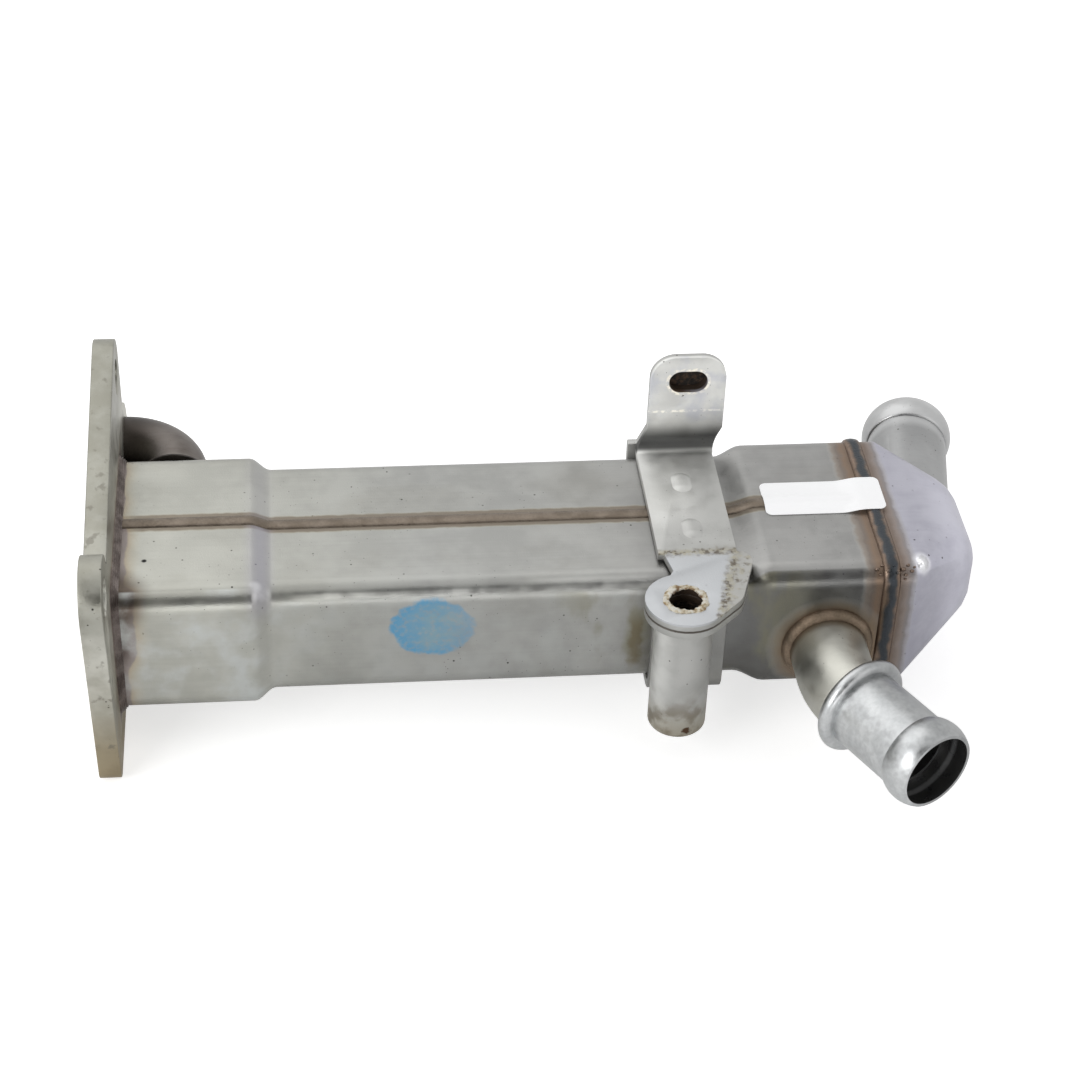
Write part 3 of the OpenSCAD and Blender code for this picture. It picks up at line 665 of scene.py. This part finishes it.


# rusty walls of the tab hole and of the ear's slot, near black as painted shade, with a pale chipped rim
# round the slot
def rustAndShadeInHoles(tree, place, base):
    look = bracketLook
    x, y, z = partsOf(tree, place)
    onEar = spread(tree, y, *look["ear"])
    radius = lengthOf(tree, minus(tree, x, sleeveX), minus(tree, y, sleeveY))
    halfX, halfZ = look["slotHalf"]
    pastRound = minus(tree, awayFrom(tree, x, look["slotAt"][0]), halfX - halfZ)
    fromSlot = lengthOf(tree, larger(tree, pastRound, 0.0), minus(tree, z, look["slotAt"][1]))
    chipped = wavering(tree, fromSlot, bracketGrain(tree, place), look["waver"] * 0.35)
    rim = times(tree, spread(tree, chipped, halfZ + 0.5, halfZ + 1.0, 1.0, 0.0), onEar)
    base = mixColour(tree, times(tree, rim, bracketGrit(tree, place)), base, look["slotRim"])
    inSlot = times(tree, spread(tree, fromSlot, halfZ + 0.05, halfZ + 0.15, 1.0, 0.0), onEar)
    rustyAndShaded = larger(tree, spread(tree, radius, *look["holeWall"]), inSlot)
    return mixColour(tree, rustyAndShaded, base, look["rustAndShade"]), rustyAndShaded


# painted shade in the bend under the ear and painted light above it, painted light on the strap and
# painted shade on its front face, with a pale line of scale across
def lightAndShadeOnStrap(tree, place, base):
    look = bracketLook
    x, y, z = partsOf(tree, place)
    earFront = spread(tree, y, *look["earFront"])
    inBend = times(tree, spread(tree, y, *look["bendBack"]), earFront, spread(tree, z, *look["bendFoot"]))
    bendPaintedLightAndShade = times(tree, spread(tree, z, *look["bendPaintedLightAndShade"]), inBend)
    strapPaintedLight = times(tree, spread(tree, y, *look["strapPaintedLight"]), spread(tree, y, *look["strapBack"]),
                      spread(tree, z, *look["strapTop"]), spread(tree, x, *look["strapRight"]))
    facePaintedShade = times(tree, spread(tree, z, *look["faceTop"]), spread(tree, y, *look["faceBack"]),
                     spread(tree, y, *look["faceFront"]))
    fromScale = minus(tree, z, look["scaleAt"])
    fromScale = wavering(tree, fromScale, bracketGrain(tree, place), look["waver"] * 0.3)
    scaleLine = spread(tree, calc(tree, "ABSOLUTE", fromScale), 0.1, 0.5, 0.8, 0.0)
    scaleLine = times(tree, scaleLine, spread(tree, y, *look["ear"]), earFront, bracketGrit(tree, place))
    base = mixColour(tree, scaleLine, base, look["scale"])
    haze = times(tree, spread(tree, noiseAt(tree, place, 0.13, 7.0), 0.45, 0.64),
                 spread(tree, z, *look["hazeFade"]), inBend)
    base = mixColour(tree, haze, base, look["haze"])
    return toned(tree, base, plus(tree, bendPaintedLightAndShade, strapPaintedLight, facePaintedShade))


# sleeve, with painted light on its left, stained and yellowed towards its foot, with one spot of rust
def stainAndLightSleeve(tree, place, base):
    look = bracketLook
    x, y, z = partsOf(tree, place)
    onSleeve = times(tree, spread(tree, z, tabUnder - 3.0, tabUnder - 2.0, 1.0, 0.0),
                     spread(tree, y, *look["sleeveFront"]))
    leftPaintedLight = times(tree, spread(tree, x, sleeveX - 6.0, sleeveX - 2.0, 0.5, 0.0), onSleeve)
    base = toned(tree, base, leftPaintedLight)
    yellow = times(tree, spread(tree, z, *look["yellowHeight"]), spread(tree, y, *look["yellowFront"]))
    base = mixColour(tree, yellow, base, look["yellow"])
    stain = times(tree, spread(tree, noiseAt(tree, place, 0.20, 6.0), 0.44, 0.66),
                  spread(tree, z, *look["stainHeight"]), onSleeve)
    base = mixColour(tree, stain, base, look["stain"])
    aside, above = look["spotFrom"]
    fromSpot = lengthOf(tree, minus(tree, x, sleeveX + aside), minus(tree, z, sleeveFoot + above))
    fromSpot = wavering(tree, fromSpot, bracketGrain(tree, place), look["waver"])
    onFront = spread(tree, y, sleeveY - 3.0, sleeveY - 4.0)
    spot = times(tree, spread(tree, fromSpot, *look["spotSize"]), onFront)
    return mixColour(tree, spot, base, look["spot"])


# the ear is sprung back a little, which shows in its sheen
def springEar(tree, shader, place):
    look = bracketLook
    y, z = partsOf(tree, place)[1:]
    bendLow, bendHigh = look["bendEnd"]
    curl = calc(tree, "DIVIDE", minus(tree, z, bendLow), bendHigh - bendLow, clamp=True)
    curl = times(tree, calc(tree, "POWER", curl, 2.0), (bendHigh - bendLow) / 2)
    flat = larger(tree, minus(tree, z, bendHigh), 0.0)
    sprung = times(tree, plus(tree, curl, flat), -look["earLean"], spread(tree, y, *look["ear"]))
    bumpFrom(tree, shader, sprung, 1.0, mm)


def bracketSteel():
    look = bracketLook
    material, tree, shader, place, base = sheetSteel("bracketSteel", look, rolled=0.04)
    base, dirty = soilTab(tree, place, base)
    base, rustyAndShaded = rustAndShadeInHoles(tree, place, base)
    base = lightAndShadeOnStrap(tree, place, base)
    base = stainAndLightSleeve(tree, place, base)
    tree.links.new(base, shader.inputs["Base Color"])
    springEar(tree, shader, place)
    bare = minus(tree, 1.0, larger(tree, times(tree, dirty, 0.7), rustyAndShaded))
    tree.links.new(bare, shader.inputs["Metallic"])
    return material


outletLook = {
    "dark": (0.495, 0.490, 0.442),
    "light": (0.575, 0.570, 0.520),
    "roughness": (0.38, 0.48),
}
# the elbow's steel is darkened as painted shade, where it lies between the flange and the casing
shadedElbowLook = {
    "dark": (0.115, 0.098, 0.087),
    "light": (0.190, 0.172, 0.158),
    "roughness": (0.38, 0.48),
}
pipeHeat = {
    "casingWall": 28.2,
    "weldReach": 3.0,
    "sootAndShadeFade": (2.0, 13.0, 0.92, 0.0),
    "sootAndShade": (0.040, 0.034, 0.030),
}


def pipeSteel(name, look):
    material, tree, shader, place, base = sheetSteel(name, look)
    x, y = partsOf(tree, place)[:2]
    fromWall = minus(tree, calc(tree, "ABSOLUTE", y), pipeHeat["casingWall"])
    base = tinted(tree, base, fromWall, pipeHeat["weldReach"], ringStops, noiseAt(tree, place, 0.3, 3.0))
    # sooty and darker beside the flange, partly painted shade between the flange and the casing
    sootAndShade = spread(tree, minus(tree, x, flangeBack), *pipeHeat["sootAndShadeFade"])
    base = mixColour(tree, sootAndShade, base, pipeHeat["sootAndShade"])
    tree.links.new(base, shader.inputs["Base Color"])
    return material


gasPipeLook = {
    "dark": (0.330, 0.332, 0.332),
    "light": (0.400, 0.402, 0.402),
    "roughness": (0.28, 0.36),
    "beadPaintedLight": (13.0, 16.5, 0.86, 1.32),
}


# painted light on the rolled bead at its end, and painted shade on the pipe below it
def gasPipeSteel():
    look = gasPipeLook
    material, tree, shader, place, base = sheetSteel("gasPipeSteel", look)
    along = levelDistance(tree, place, gasPipeAxis["at"], gasPipeAxis["along"])
    base = shaded(tree, base, spread(tree, along, *look["beadPaintedLight"]))
    tree.links.new(base, shader.inputs["Base Color"])
    return material


nippleLook = {
    "dark": (0.335, 0.343, 0.346),
    "light": (0.385, 0.392, 0.394),
    "roughness": (0.28, 0.40),
    "nippleLeftPaintedLight": (-8.0, 0.5, 1.60, 0.95),
    # painted reflection ring inside the nipple's mouth
    "mouthAt": 22.6,
    "mouthReflectionRing": (0.2, 0.9, 0.8, 0.0),
    "mouthReflection": (0.420, 0.425, 0.430),
}


def zincPlate():
    look = nippleLook
    material, tree, shader, place = newTree("zincPlate")
    clouds = noiseAt(tree, place, 0.22, 4.0)
    base = mixColour(tree, spread(tree, clouds, 0.35, 0.65), look["dark"], look["light"])
    spangle = noiseAt(tree, place, 0.9, 6.0)
    base = shaded(tree, base, spread(tree, spangle, 0.30, 0.70, 0.91, 1.08))
    ahead = nippleAxis["along"]
    aside = levelDistance(tree, place, nippleAxis["at"], (-ahead[1], ahead[0]))
    # painted light on the nipple's left side, and a little painted shade on its right
    base = shaded(tree, base, spread(tree, aside, *look["nippleLeftPaintedLight"]))
    setShader(tree, shader, base, 1.0, spread(tree, spangle, 0.3, 0.7, *look["roughness"]))
    bumpFrom(tree, shader, noiseAt(tree, place, 5.0, 2.0), 0.05, 0.0002)
    return material


# painted shade inside the open bores, with a soot-like mottle
def darkBore():
    look = nippleLook
    material, tree, shader, place = newTree("darkBore")
    sootAndShade = noiseAt(tree, place, 0.3, 3.0)
    base = mixColour(tree, sootAndShade, (0.050, 0.050, 0.052), (0.095, 0.093, 0.090))
    # painted reflection: a lighter ring inside the nipple's mouth
    along = levelDistance(tree, place, nippleAxis["at"], nippleAxis["along"])
    ring = spread(tree, awayFrom(tree, along, look["mouthAt"]), *look["mouthReflectionRing"])
    base = mixColour(tree, ring, base, look["mouthReflection"])
    setShader(tree, shader, base, 0.6, spread(tree, sootAndShade, 0.3, 0.7, 0.26, 0.36))
    return material


# rust darkened to near black, as painted shade in the ear's slot and the sleeve's bore
def rustAndShadeCrust():
    material, tree, shader, place = newTree("rustAndShadeCrust")
    patch = noiseAt(tree, place, 1.1, 5.0)
    stops = [(0.00, (0.007, 0.006, 0.005)), (0.55, (0.022, 0.015, 0.011)), (1.00, (0.075, 0.044, 0.026))]
    base = rampOf(tree, spread(tree, patch, 0.3, 0.7), stops)[0]
    setShader(tree, shader, base, 0.0, 0.85)
    bumpFrom(tree, shader, patch, 0.5, 0.0008)
    return material


def paleCrust():
    material, tree, shader, place = newTree("paleCrust")
    x, y = partsOf(tree, place)[:2]
    patch = noiseAt(tree, place, 0.8, 5.0)
    stops = [(0.00, (0.300, 0.210, 0.110)), (0.30, (0.600, 0.530, 0.390)), (1.00, (0.780, 0.760, 0.700))]
    base = rampOf(tree, spread(tree, patch, 0.32, 0.68), stops)[0]
    # rusty towards the hole
    radius = lengthOf(tree, minus(tree, x, sleeveX), minus(tree, y, sleeveY))
    radius = wavering(tree, radius, patch, 3.0)
    base = mixColour(tree, spread(tree, radius, 2.9, 4.0, 1.0, 0.0), base, (0.130, 0.055, 0.020))
    setShader(tree, shader, base, 0.0, 0.7)
    bumpFrom(tree, shader, patch, 0.4, 0.0006)
    return material


def weldMetal(name, dark, light, roughness=(0.32, 0.48)):
    material, tree, shader, place = newTree(name)
    patch = noiseAt(tree, place, 0.28, 3.0)
    fine = noiseAt(tree, place, 2.0, 4.0)
    base = mixColour(tree, spread(tree, patch, 0.35, 0.65), dark, light)
    base = mixColour(tree, times(tree, fine, 0.15), base, (0.060, 0.055, 0.055))
    setShader(tree, shader, base, 0.9, spread(tree, fine, 0.3, 0.7, *roughness))
    bumpFrom(tree, shader, fine, 0.20, 0.0005)
    return material


endWeldLook = {
    "half": 2.2,
    "waver": 2.2,
    "tones": [(0.00, (0.048, 0.055, 0.064)), (0.34, (0.058, 0.062, 0.066)), (0.52, (0.125, 0.097, 0.080)),
              (0.75, (0.215, 0.155, 0.115)), (1.00, (0.185, 0.135, 0.105))],
}


# bead round the casing's end: blue-black along its middle, brown at both toes
def endWeldMetal():
    look = endWeldLook
    material, tree, shader, place = newTree("endWeldMetal")
    x = partsOf(tree, place)[0]
    fine = noiseAt(tree, place, 1.8, 4.0)
    fromMiddle = wavering(tree, minus(tree, x, casingEnd), noiseAt(tree, place, 0.30, 3.0), look["waver"])
    share = calc(tree, "DIVIDE", calc(tree, "ABSOLUTE", fromMiddle), look["half"], clamp=True)
    base = rampOf(tree, share, look["tones"])[0]
    base = mixColour(tree, times(tree, fine, 0.15), base, (0.050, 0.050, 0.055))
    setShader(tree, shader, base, 0.9, spread(tree, fine, 0.3, 0.7, 0.28, 0.46))
    bumpFrom(tree, shader, fine, 0.20, 0.0006)
    return material


def bundleSteel():
    material, tree, shader, place = newTree("bundleSteel")
    sootAndShade = noiseAt(tree, place, 0.3, 5.0)
    base = mixColour(tree, sootAndShade, (0.240, 0.235, 0.225), (0.380, 0.375, 0.365))
    setShader(tree, shader, base, 1.0, spread(tree, sootAndShade, 0.3, 0.7, 0.38, 0.55))
    return material


def glowingLabelPaper():
    material, tree, shader, place = newTree("glowingLabelPaper")
    fibre = noiseAt(tree, place, 1.2, 4.0)
    base = mixColour(tree, fibre, (0.830, 0.835, 0.850), (0.900, 0.900, 0.905))
    setShader(tree, shader, base, 0.0, spread(tree, fibre, 0.3, 0.7, 0.42, 0.52))
    # the paper glows a little, as painted light
    shader.inputs["Emission Color"].default_value = (1.0, 1.0, 1.0, 1.0)
    shader.inputs["Emission Strength"].default_value = 0.22
    return material


casingFinish = casingSteel()
capFinish = capSteel()
flangeFinish = flangeSteel()
bracketFinish = bracketSteel()
outletFinish = pipeSteel("outletSteel", outletLook)
shadedElbowFinish = pipeSteel("shadedElbowSteel", shadedElbowLook)
gasPipeFinish = gasPipeSteel()
zincFinish = zincPlate()
boreFinish = darkBore()
rustAndShadeFinish = rustAndShadeCrust()
crustFinish = paleCrust()
bundleFinish = bundleSteel()
seamFinish = weldMetal("seamWeld", (0.160, 0.130, 0.100), (0.215, 0.178, 0.142))
filletFinish = weldMetal("filletWeld", (0.185, 0.142, 0.100), (0.270, 0.205, 0.148), (0.52, 0.66))
flangeWeldFinish = weldMetal("flangeWeld", (0.110, 0.090, 0.082), (0.225, 0.192, 0.180))
# the inlet weld is darkened as painted shade beside the elbow
shadedInletWeldFinish = weldMetal("shadedInletWeld", (0.045, 0.038, 0.034), (0.070, 0.060, 0.053), (0.62, 0.72))
endFinish = endWeldMetal()
print("materials made")


# pieces that keep the form of a CAD node, with merged faces, soft edges and smooth shading

def activate(piece):
    bpy.ops.object.select_all(action="DESELECT")
    piece.select_set(True)
    bpy.context.view_layer.objects.active = piece


def smooth(piece, angle):
    activate(piece)
    bpy.ops.object.shade_smooth_by_angle(angle=math.radians(angle))


def applyModifier(piece, kind, **settings):
    activate(piece)
    modifier = piece.modifiers.new(kind.lower(), kind)
    for key, value in settings.items():
        setattr(modifier, key, value)
    bpy.ops.object.modifier_apply(modifier=modifier.name)


def mergeCopy(node, name, dissolve=True):
    piece = bpy.data.objects.new(name, nodes[node].data.copy())
    bpy.context.scene.collection.objects.link(piece)
    activate(piece)
    if piece.data.has_custom_normals:
        bpy.ops.mesh.customdata_custom_splitnormals_clear()
    bpy.ops.object.mode_set(mode="EDIT")
    bpy.ops.mesh.select_all(action="SELECT")
    bpy.ops.mesh.remove_doubles(threshold=0.004 * mm)
    if dissolve:
        bpy.ops.mesh.dissolve_limited(angle_limit=math.radians(0.6))
    bpy.ops.object.mode_set(mode="OBJECT")
    return piece


def dressNode(node, name, finish, edge=0.0, smoothAngle=32.0, dissolve=True, joined=None):
    piece = mergeCopy(node, name, dissolve)
    covers = [node]
    if joined:
        # the other half of the same pressing is fused on, so that no joint shows
        other = mergeCopy(joined, name + "Other", dissolve)
        applyModifier(piece, "BOOLEAN", operation="UNION", solver="EXACT", object=other)
        bpy.data.objects.remove(other, do_unlink=True)
        covers.append(joined)
    if edge > 0:
        applyModifier(piece, "BEVEL", width=edge, segments=3, limit_method="ANGLE",
                      angle_limit=math.radians(50), harden_normals=False)
    smooth(piece, smoothAngle)
    piece.data.materials.clear()
    piece.data.materials.append(finish)
    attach(piece, "root")
    for covered in covers:
        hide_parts(covered)
    return piece


# faces that look at a bore's axis from inside a radius get the dark finish, as painted shade inside the
# bore
def darkenBore(piece, bore, finish):
    piece.data.materials.append(finish)
    start = Vector(bore["at"]) * mm
    along = Vector(bore["along"]).normalized()
    for face in piece.data.polygons:
        away = face.center - start
        outward = away - along * away.dot(along)
        if outward.length < bore["radius"] * mm and face.normal.dot(outward) < -0.25 * outward.length:
            face.material_index = 1


sleeveAxis = {"at": (sleeveX, sleeveY, 0.0), "along": (0, 0, 1), "radius": 4.6}

dressNode("front_shell", "frontShell", casingFinish)
dressNode("rear_shell", "rearShell", casingFinish)
dressNode("end_cap", "endCap", capFinish, smoothAngle=40.0, dissolve=False)
dressNode("mounting_flange", "mountingFlange", flangeFinish, edge=0.45 * mm)
dressNode("upper_strap", "upperStrap", bracketFinish, edge=0.35 * mm, joined="upper_tab")
dressNode("lower_strap", "lowerStrap", bracketFinish, edge=0.35 * mm, joined="lower_tab")
sleeve = dressNode("spacer_sleeve", "spacerSleeve", bracketFinish, smoothAngle=40.0)
# the sleeve's bore gets the near-black rust, as painted shade
darkenBore(sleeve, sleeveAxis, rustAndShadeFinish)
dressNode("inlet_elbow", "inletElbow", shadedElbowFinish, smoothAngle=40.0, dissolve=False)
dressNode("outlet_tube", "outletTube", outletFinish, smoothAngle=40.0, dissolve=False)
gasPipe = dressNode("gas_outlet_pipe", "gasOutletPipe", gasPipeFinish,
                    smoothAngle=75.0, dissolve=False)
darkenBore(gasPipe, gasPipeAxis, boreFinish)
nipple = dressNode("hose_nipple", "hoseNipple", zincFinish, smoothAngle=40.0, dissolve=False)
darkenBore(nipple, nippleAxis, boreFinish)
dressNode("top_seam_weld", "topSeamWeld", seamFinish, smoothAngle=60.0)
dressNode("bottom_seam_weld", "bottomSeamWeld", seamFinish, smoothAngle=60.0)
dressNode("flange_weld", "flangeWeld", flangeWeldFinish, smoothAngle=80.0)
dressNode("inlet_weld", "inletWeld", shadedInletWeldFinish, smoothAngle=60.0)
dressNode("outlet_weld", "outletWeld", filletFinish, smoothAngle=60.0)
dressNode("end_weld", "endWeld", endFinish, smoothAngle=60.0, dissolve=False)
print("casing, bracket, pipes and welds dressed")

for name, node in nodes.items():
    if name.startswith(("gas_tube", "baffle")) or name.endswith("_header"):
        node.data.materials.clear()
        node.data.materials.append(bundleFinish)
print("tube bundle finished")


# pieces made new: label, crusts and spatter

def applyPlace():
    bpy.ops.object.transform_apply(location=True, rotation=True, scale=True)


def roughen(piece, strength, grain):
    lumps = bpy.data.textures.new(piece.name + "Lumps", "CLOUDS")
    lumps.noise_scale = grain
    applyModifier(piece, "DISPLACE", texture=lumps, strength=strength, mid_level=0.5)


def settle(piece, finish, smoothAngle=60.0):
    smooth(piece, smoothAngle)
    piece.data.materials.append(finish)
    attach(piece, "root")


# blank paper label on top, lapping over the end weld
label = {
    "left": 154.0 * mm,
    "right": 182.2 * mm,
    "front": -4.9 * mm,
    "back": 7.4 * mm,
    "corner": 1.6 * mm,
    "thick": 0.14 * mm,
    "lift": 0.10 * mm,
    "tentHalf": 3.6 * mm,
    "tentFullness": 1.35,
    "rampBefore": 6.0 * mm,
    "rampLength": 6.2 * mm,
    "cutsAlong": 48,
    "cutsAcross": 8,
}


def eased(share):
    share = max(0.0, min(1.0, share))
    return share * share * (3 - 2 * share)


def makeLabel():
    length = label["right"] - label["left"]
    depth = label["back"] - label["front"]
    bpy.ops.object.select_all(action="DESELECT")
    bpy.ops.mesh.primitive_plane_add(size=1.0)
    piece = bpy.context.active_object
    piece.name = "blankLabel"
    piece.scale = (length, depth, 1.0)
    piece.location = (label["left"] + length / 2, label["front"] + depth / 2, shellHigh.z)
    applyPlace()
    bpy.ops.object.mode_set(mode="EDIT")
    bpy.ops.mesh.select_all(action="SELECT")
    bpy.ops.mesh.bevel(affect="VERTICES", offset=label["corner"], segments=5)
    # cuts both ways, so that the label can bend over the two welds
    along = label["cutsAlong"]
    across = label["cutsAcross"]
    cuts = [((label["left"] + length * step / along, 0, 0), (1, 0, 0)) for step in range(1, along)]
    cuts += [((0, label["tentHalf"] * step / across, 0), (0, 1, 0)) for step in range(-across, across + 1)]
    for point, direction in cuts:
        bpy.ops.mesh.select_all(action="SELECT")
        bpy.ops.mesh.bisect(plane_co=point, plane_no=direction)
    bpy.ops.object.mode_set(mode="OBJECT")
    beadRise = seamWeldHigh.z - shellHigh.z
    weldRise = endWeldHigh.z - shellHigh.z
    for vertex in piece.data.vertices:
        toWeld = (vertex.co.x - endWeldLow.x + label["rampBefore"]) / label["rampLength"]
        toBead = 1.0 - abs(vertex.co.y) / label["tentHalf"]
        overWeld = weldRise * eased(toWeld)
        overBead = beadRise * min(1.0, label["tentFullness"] * eased(toBead))
        vertex.co.z = shellHigh.z + label["lift"] + max(overWeld, overBead)
    applyModifier(piece, "SOLIDIFY", thickness=label["thick"], offset=1.0)
    settle(piece, glowingLabelPaper(), 40.0)


makeLabel()
print("label made")


# pale crust round the tab's hole, and a near-black rust film closing the ear's slot, as painted shade in
# it
crust = {
    "ringRadius": 4.35 * mm,
    "ringThick": 0.72 * mm,
    "ringFlat": 0.40,
    "ringWaver": 1.3 * mm,
    "ringWaverGrain": 3.2 * mm,
    "ringGrain": 0.9 * mm,
    "ringTop": 0.35 * mm,
    "ringTopShare": 0.25,
    "filmDepth": 1.3 * mm,
    "filmThick": 0.5 * mm,
    "filmLap": 0.3 * mm,
    "filmGrain": 2.0 * mm,
    "rough": 0.6 * mm,
}


def makeHoleCrust():
    bpy.ops.object.select_all(action="DESELECT")
    bpy.ops.mesh.primitive_torus_add(major_radius=crust["ringRadius"], minor_radius=crust["ringThick"],
                                     major_segments=96, minor_segments=20)
    piece = bpy.context.active_object
    piece.name = "holeCrust"
    piece.scale = (1.0, 1.0, crust["ringFlat"])
    piece.location = (sleeveX * mm, sleeveY * mm, tabHigh.z)
    applyPlace()
    roughen(piece, crust["ringWaver"], crust["ringWaverGrain"])
    roughen(piece, crust["rough"], crust["ringGrain"])
    # the tops of the lumps are pressed down
    for vertex in piece.data.vertices:
        pressed = crust["ringTop"] + crust["ringTopShare"] * (vertex.co.z - tabHigh.z)
        vertex.co.z = min(vertex.co.z, tabHigh.z + pressed)
    settle(piece, crustFinish)


def makeSlotShadeFilm():
    slotX, slotZ = bracketLook["slotAt"]
    halfX, halfZ = bracketLook["slotHalf"]
    bpy.ops.object.select_all(action="DESELECT")
    bpy.ops.mesh.primitive_grid_add(x_subdivisions=40, y_subdivisions=28, size=1.0)
    piece = bpy.context.active_object
    piece.name = "slotShadeFilm"
    piece.scale = (2 * (halfX * mm + crust["filmLap"]), 2 * (halfZ * mm + crust["filmLap"]), 1.0)
    piece.rotation_euler = (math.radians(90), 0, 0)
    piece.location = (slotX * mm, strapHigh.y + crust["filmDepth"], slotZ * mm)
    applyPlace()
    roughen(piece, crust["rough"], crust["filmGrain"])
    applyModifier(piece, "SOLIDIFY", thickness=crust["filmThick"], offset=0.0)
    settle(piece, rustAndShadeFinish)


makeHoleCrust()
makeSlotShadeFilm()
print("crusts made")


# droplets thrown by the end weld at the front top corner: place along X, turn round the corner and size
spatter = {
    "places": [(-3.4, 38, 0.42), (-2.7, 52, 0.30), (-2.2, 29, 0.36), (-1.0, 44, 0.45),
               (0.4, 33, 0.32), (1.2, 50, 0.40), (2.6, 40, 0.48), (3.1, 55, 0.34),
               (3.8, 30, 0.36), (4.6, 46, 0.42), (5.2, 36, 0.28), (2.9, 66, 0.30)],
    "corner": 5.9 * mm,
    "beadHalf": 1.6,
    "beadRise": 0.75 * mm,
    "squash": (1.25, 1.0, 0.8),
    "rough": 0.25 * mm,
    "grain": 0.7 * mm,
}


def makeSpatter():
    bpy.ops.object.select_all(action="DESELECT")
    drops = []
    for along, turn, size in spatter["places"]:
        angle = math.radians(turn)
        offBead = abs(along) > spatter["beadHalf"]
        reach = spatter["corner"] - (spatter["beadRise"] if offBead else 0.0)
        place = (shellHigh.x + along * mm,
                 endWeldLow.y + spatter["corner"] - reach * math.sin(angle),
                 endWeldHigh.z - spatter["corner"] + reach * math.cos(angle))
        bpy.ops.mesh.primitive_uv_sphere_add(segments=16, ring_count=8, radius=size * mm, location=place)
        drop = bpy.context.active_object
        drop.scale = spatter["squash"]
        drops.append(drop)
    for drop in drops:
        drop.select_set(True)
    bpy.context.view_layer.objects.active = drops[0]
    bpy.ops.object.join()
    piece = bpy.context.active_object
    piece.name = "weldSpatter"
    applyPlace()
    roughen(piece, spatter["rough"], spatter["grain"])
    settle(piece, endFinish)


makeSpatter()
print("spatter made")


# camera fitted to the photograph, which is 1080 pixels wide
view = {
    "place": (47.6 * mm, -458.69 * mm, 361.5 * mm),
    "right": (0.9951, -0.0940, 0.0315),
    "ahead": (0.0937, 0.7887, -0.6075),
    "focalPixels": 2500.0,
    "widePixels": 1080.0,
    "sensor": 36.0,
}


def makeCamera():
    right = Vector(view["right"]).normalized()
    ahead = Vector(view["ahead"]).normalized()
    up = right.cross(ahead).normalized()
    right = ahead.cross(up).normalized()
    turn = Matrix((right, up, -ahead)).transposed().to_4x4()
    lens = bpy.data.cameras.new("photoCamera")
    lens.sensor_width = view["sensor"]
    lens.lens = view["focalPixels"] / view["widePixels"] * view["sensor"]
    lens.clip_start = 0.01
    camera = bpy.data.objects.new("photoCamera", lens)
    camera.matrix_world = Matrix.Translation(Vector(view["place"])) @ turn
    bpy.context.scene.collection.objects.link(camera)
    bpy.context.scene.camera = camera


makeCamera()
print("camera placed")


# pale floor, white surroundings and soft lamps: each lamp's place and size in metres, and its power
stage = {
    "middle": (0.1, 0.0, 0.0),
    "floorSize": 6.0,
    "floorGap": 0.2 * mm,
    "floorColour": (0.86, 0.86, 0.86),
    "floorGlow": 0.62,
    "floorMirrored": 0.22,
    "ambient": 0.55,
    "cardSize": 0.62,
    "cardBehind": 0.08,
    "cardColour": (0.03, 0.03, 0.03),
    "lamps": [
        ("topLamp", (-0.20, 0.45, 0.75), 0.9, 1.8),
        ("leftLamp", (-0.50, -0.55, 0.42), 0.5, 3.0),
        ("rightLamp", (0.75, -0.30, 0.50), 0.5, 0.4),
        ("frontLamp", (0.15, -0.90, 0.14), 0.35, 0.8),
    ],
}


def makeFloor():
    height = cadBox[0][2] - stage["floorGap"]
    bpy.ops.object.select_all(action="DESELECT")
    bpy.ops.mesh.primitive_plane_add(size=stage["floorSize"], location=(*stage["middle"][:2], height))
    floor = bpy.context.active_object
    floor.name = "paleFloor"
    material, tree, shader = newShader("paleFloor")
    setShader(tree, shader, stage["floorColour"], 0.0, 0.9)
    shader.inputs["Specular IOR Level"].default_value = 0.1
    shader.inputs["Emission Color"].default_value = (1.0, 1.0, 1.0, 1.0)
    path = tree.nodes.new("ShaderNodeLightPath")
    glow = times(tree, path.outputs["Is Camera Ray"], stage["floorGlow"])
    mirrored = times(tree, path.outputs["Is Glossy Ray"], stage["floorMirrored"])
    tree.links.new(plus(tree, glow, mirrored), shader.inputs["Emission Strength"])
    floor.data.materials.append(material)


# white to the camera and in reflections, dimmer as a light
def makeRoom():
    world = bpy.data.worlds.new("whiteRoom")
    world.use_nodes = True
    bpy.context.scene.world = world
    tree = world.node_tree
    background = tree.nodes["Background"]
    background.inputs["Color"].default_value = (1.0, 1.0, 1.0, 1.0)
    path = tree.nodes.new("ShaderNodeLightPath")
    seen = plus(tree, path.outputs["Is Camera Ray"], path.outputs["Is Glossy Ray"])
    seen = calc(tree, "ADD", seen, path.outputs["Is Transmission Ray"], clamp=True)
    tree.links.new(spread(tree, seen, 0.0, 1.0, stage["ambient"], 1.0), background.inputs["Strength"])


def makeLamps():
    for name, place, size, power in stage["lamps"]:
        lamp = bpy.data.lights.new(name, "AREA")
        lamp.size = size
        lamp.energy = power
        holder = bpy.data.objects.new(name, lamp)
        holder.location = place
        aim = Vector(stage["middle"]) - Vector(place)
        holder.rotation_euler = aim.to_track_quat("-Z", "Y").to_euler()
        bpy.context.scene.collection.objects.link(holder)


# dark card behind the camera, which the rounded corners mirror
def makeCard():
    ahead = Vector(view["ahead"]).normalized()
    bpy.ops.object.select_all(action="DESELECT")
    bpy.ops.mesh.primitive_plane_add(size=stage["cardSize"])
    card = bpy.context.active_object
    card.name = "darkCard"
    card.rotation_euler = ahead.to_track_quat("Z", "Y").to_euler()
    card.location = Vector(view["place"]) - ahead * stage["cardBehind"]
    material, tree, shader = newShader("darkCard")
    setShader(tree, shader, stage["cardColour"], 0.0, 1.0)
    card.data.materials.append(material)
    card.visible_camera = False
    card.visible_shadow = False


makeFloor()
makeRoom()
makeLamps()
makeCard()
bpy.context.scene.view_settings.view_transform = "Standard"
print("stage and lamps placed")
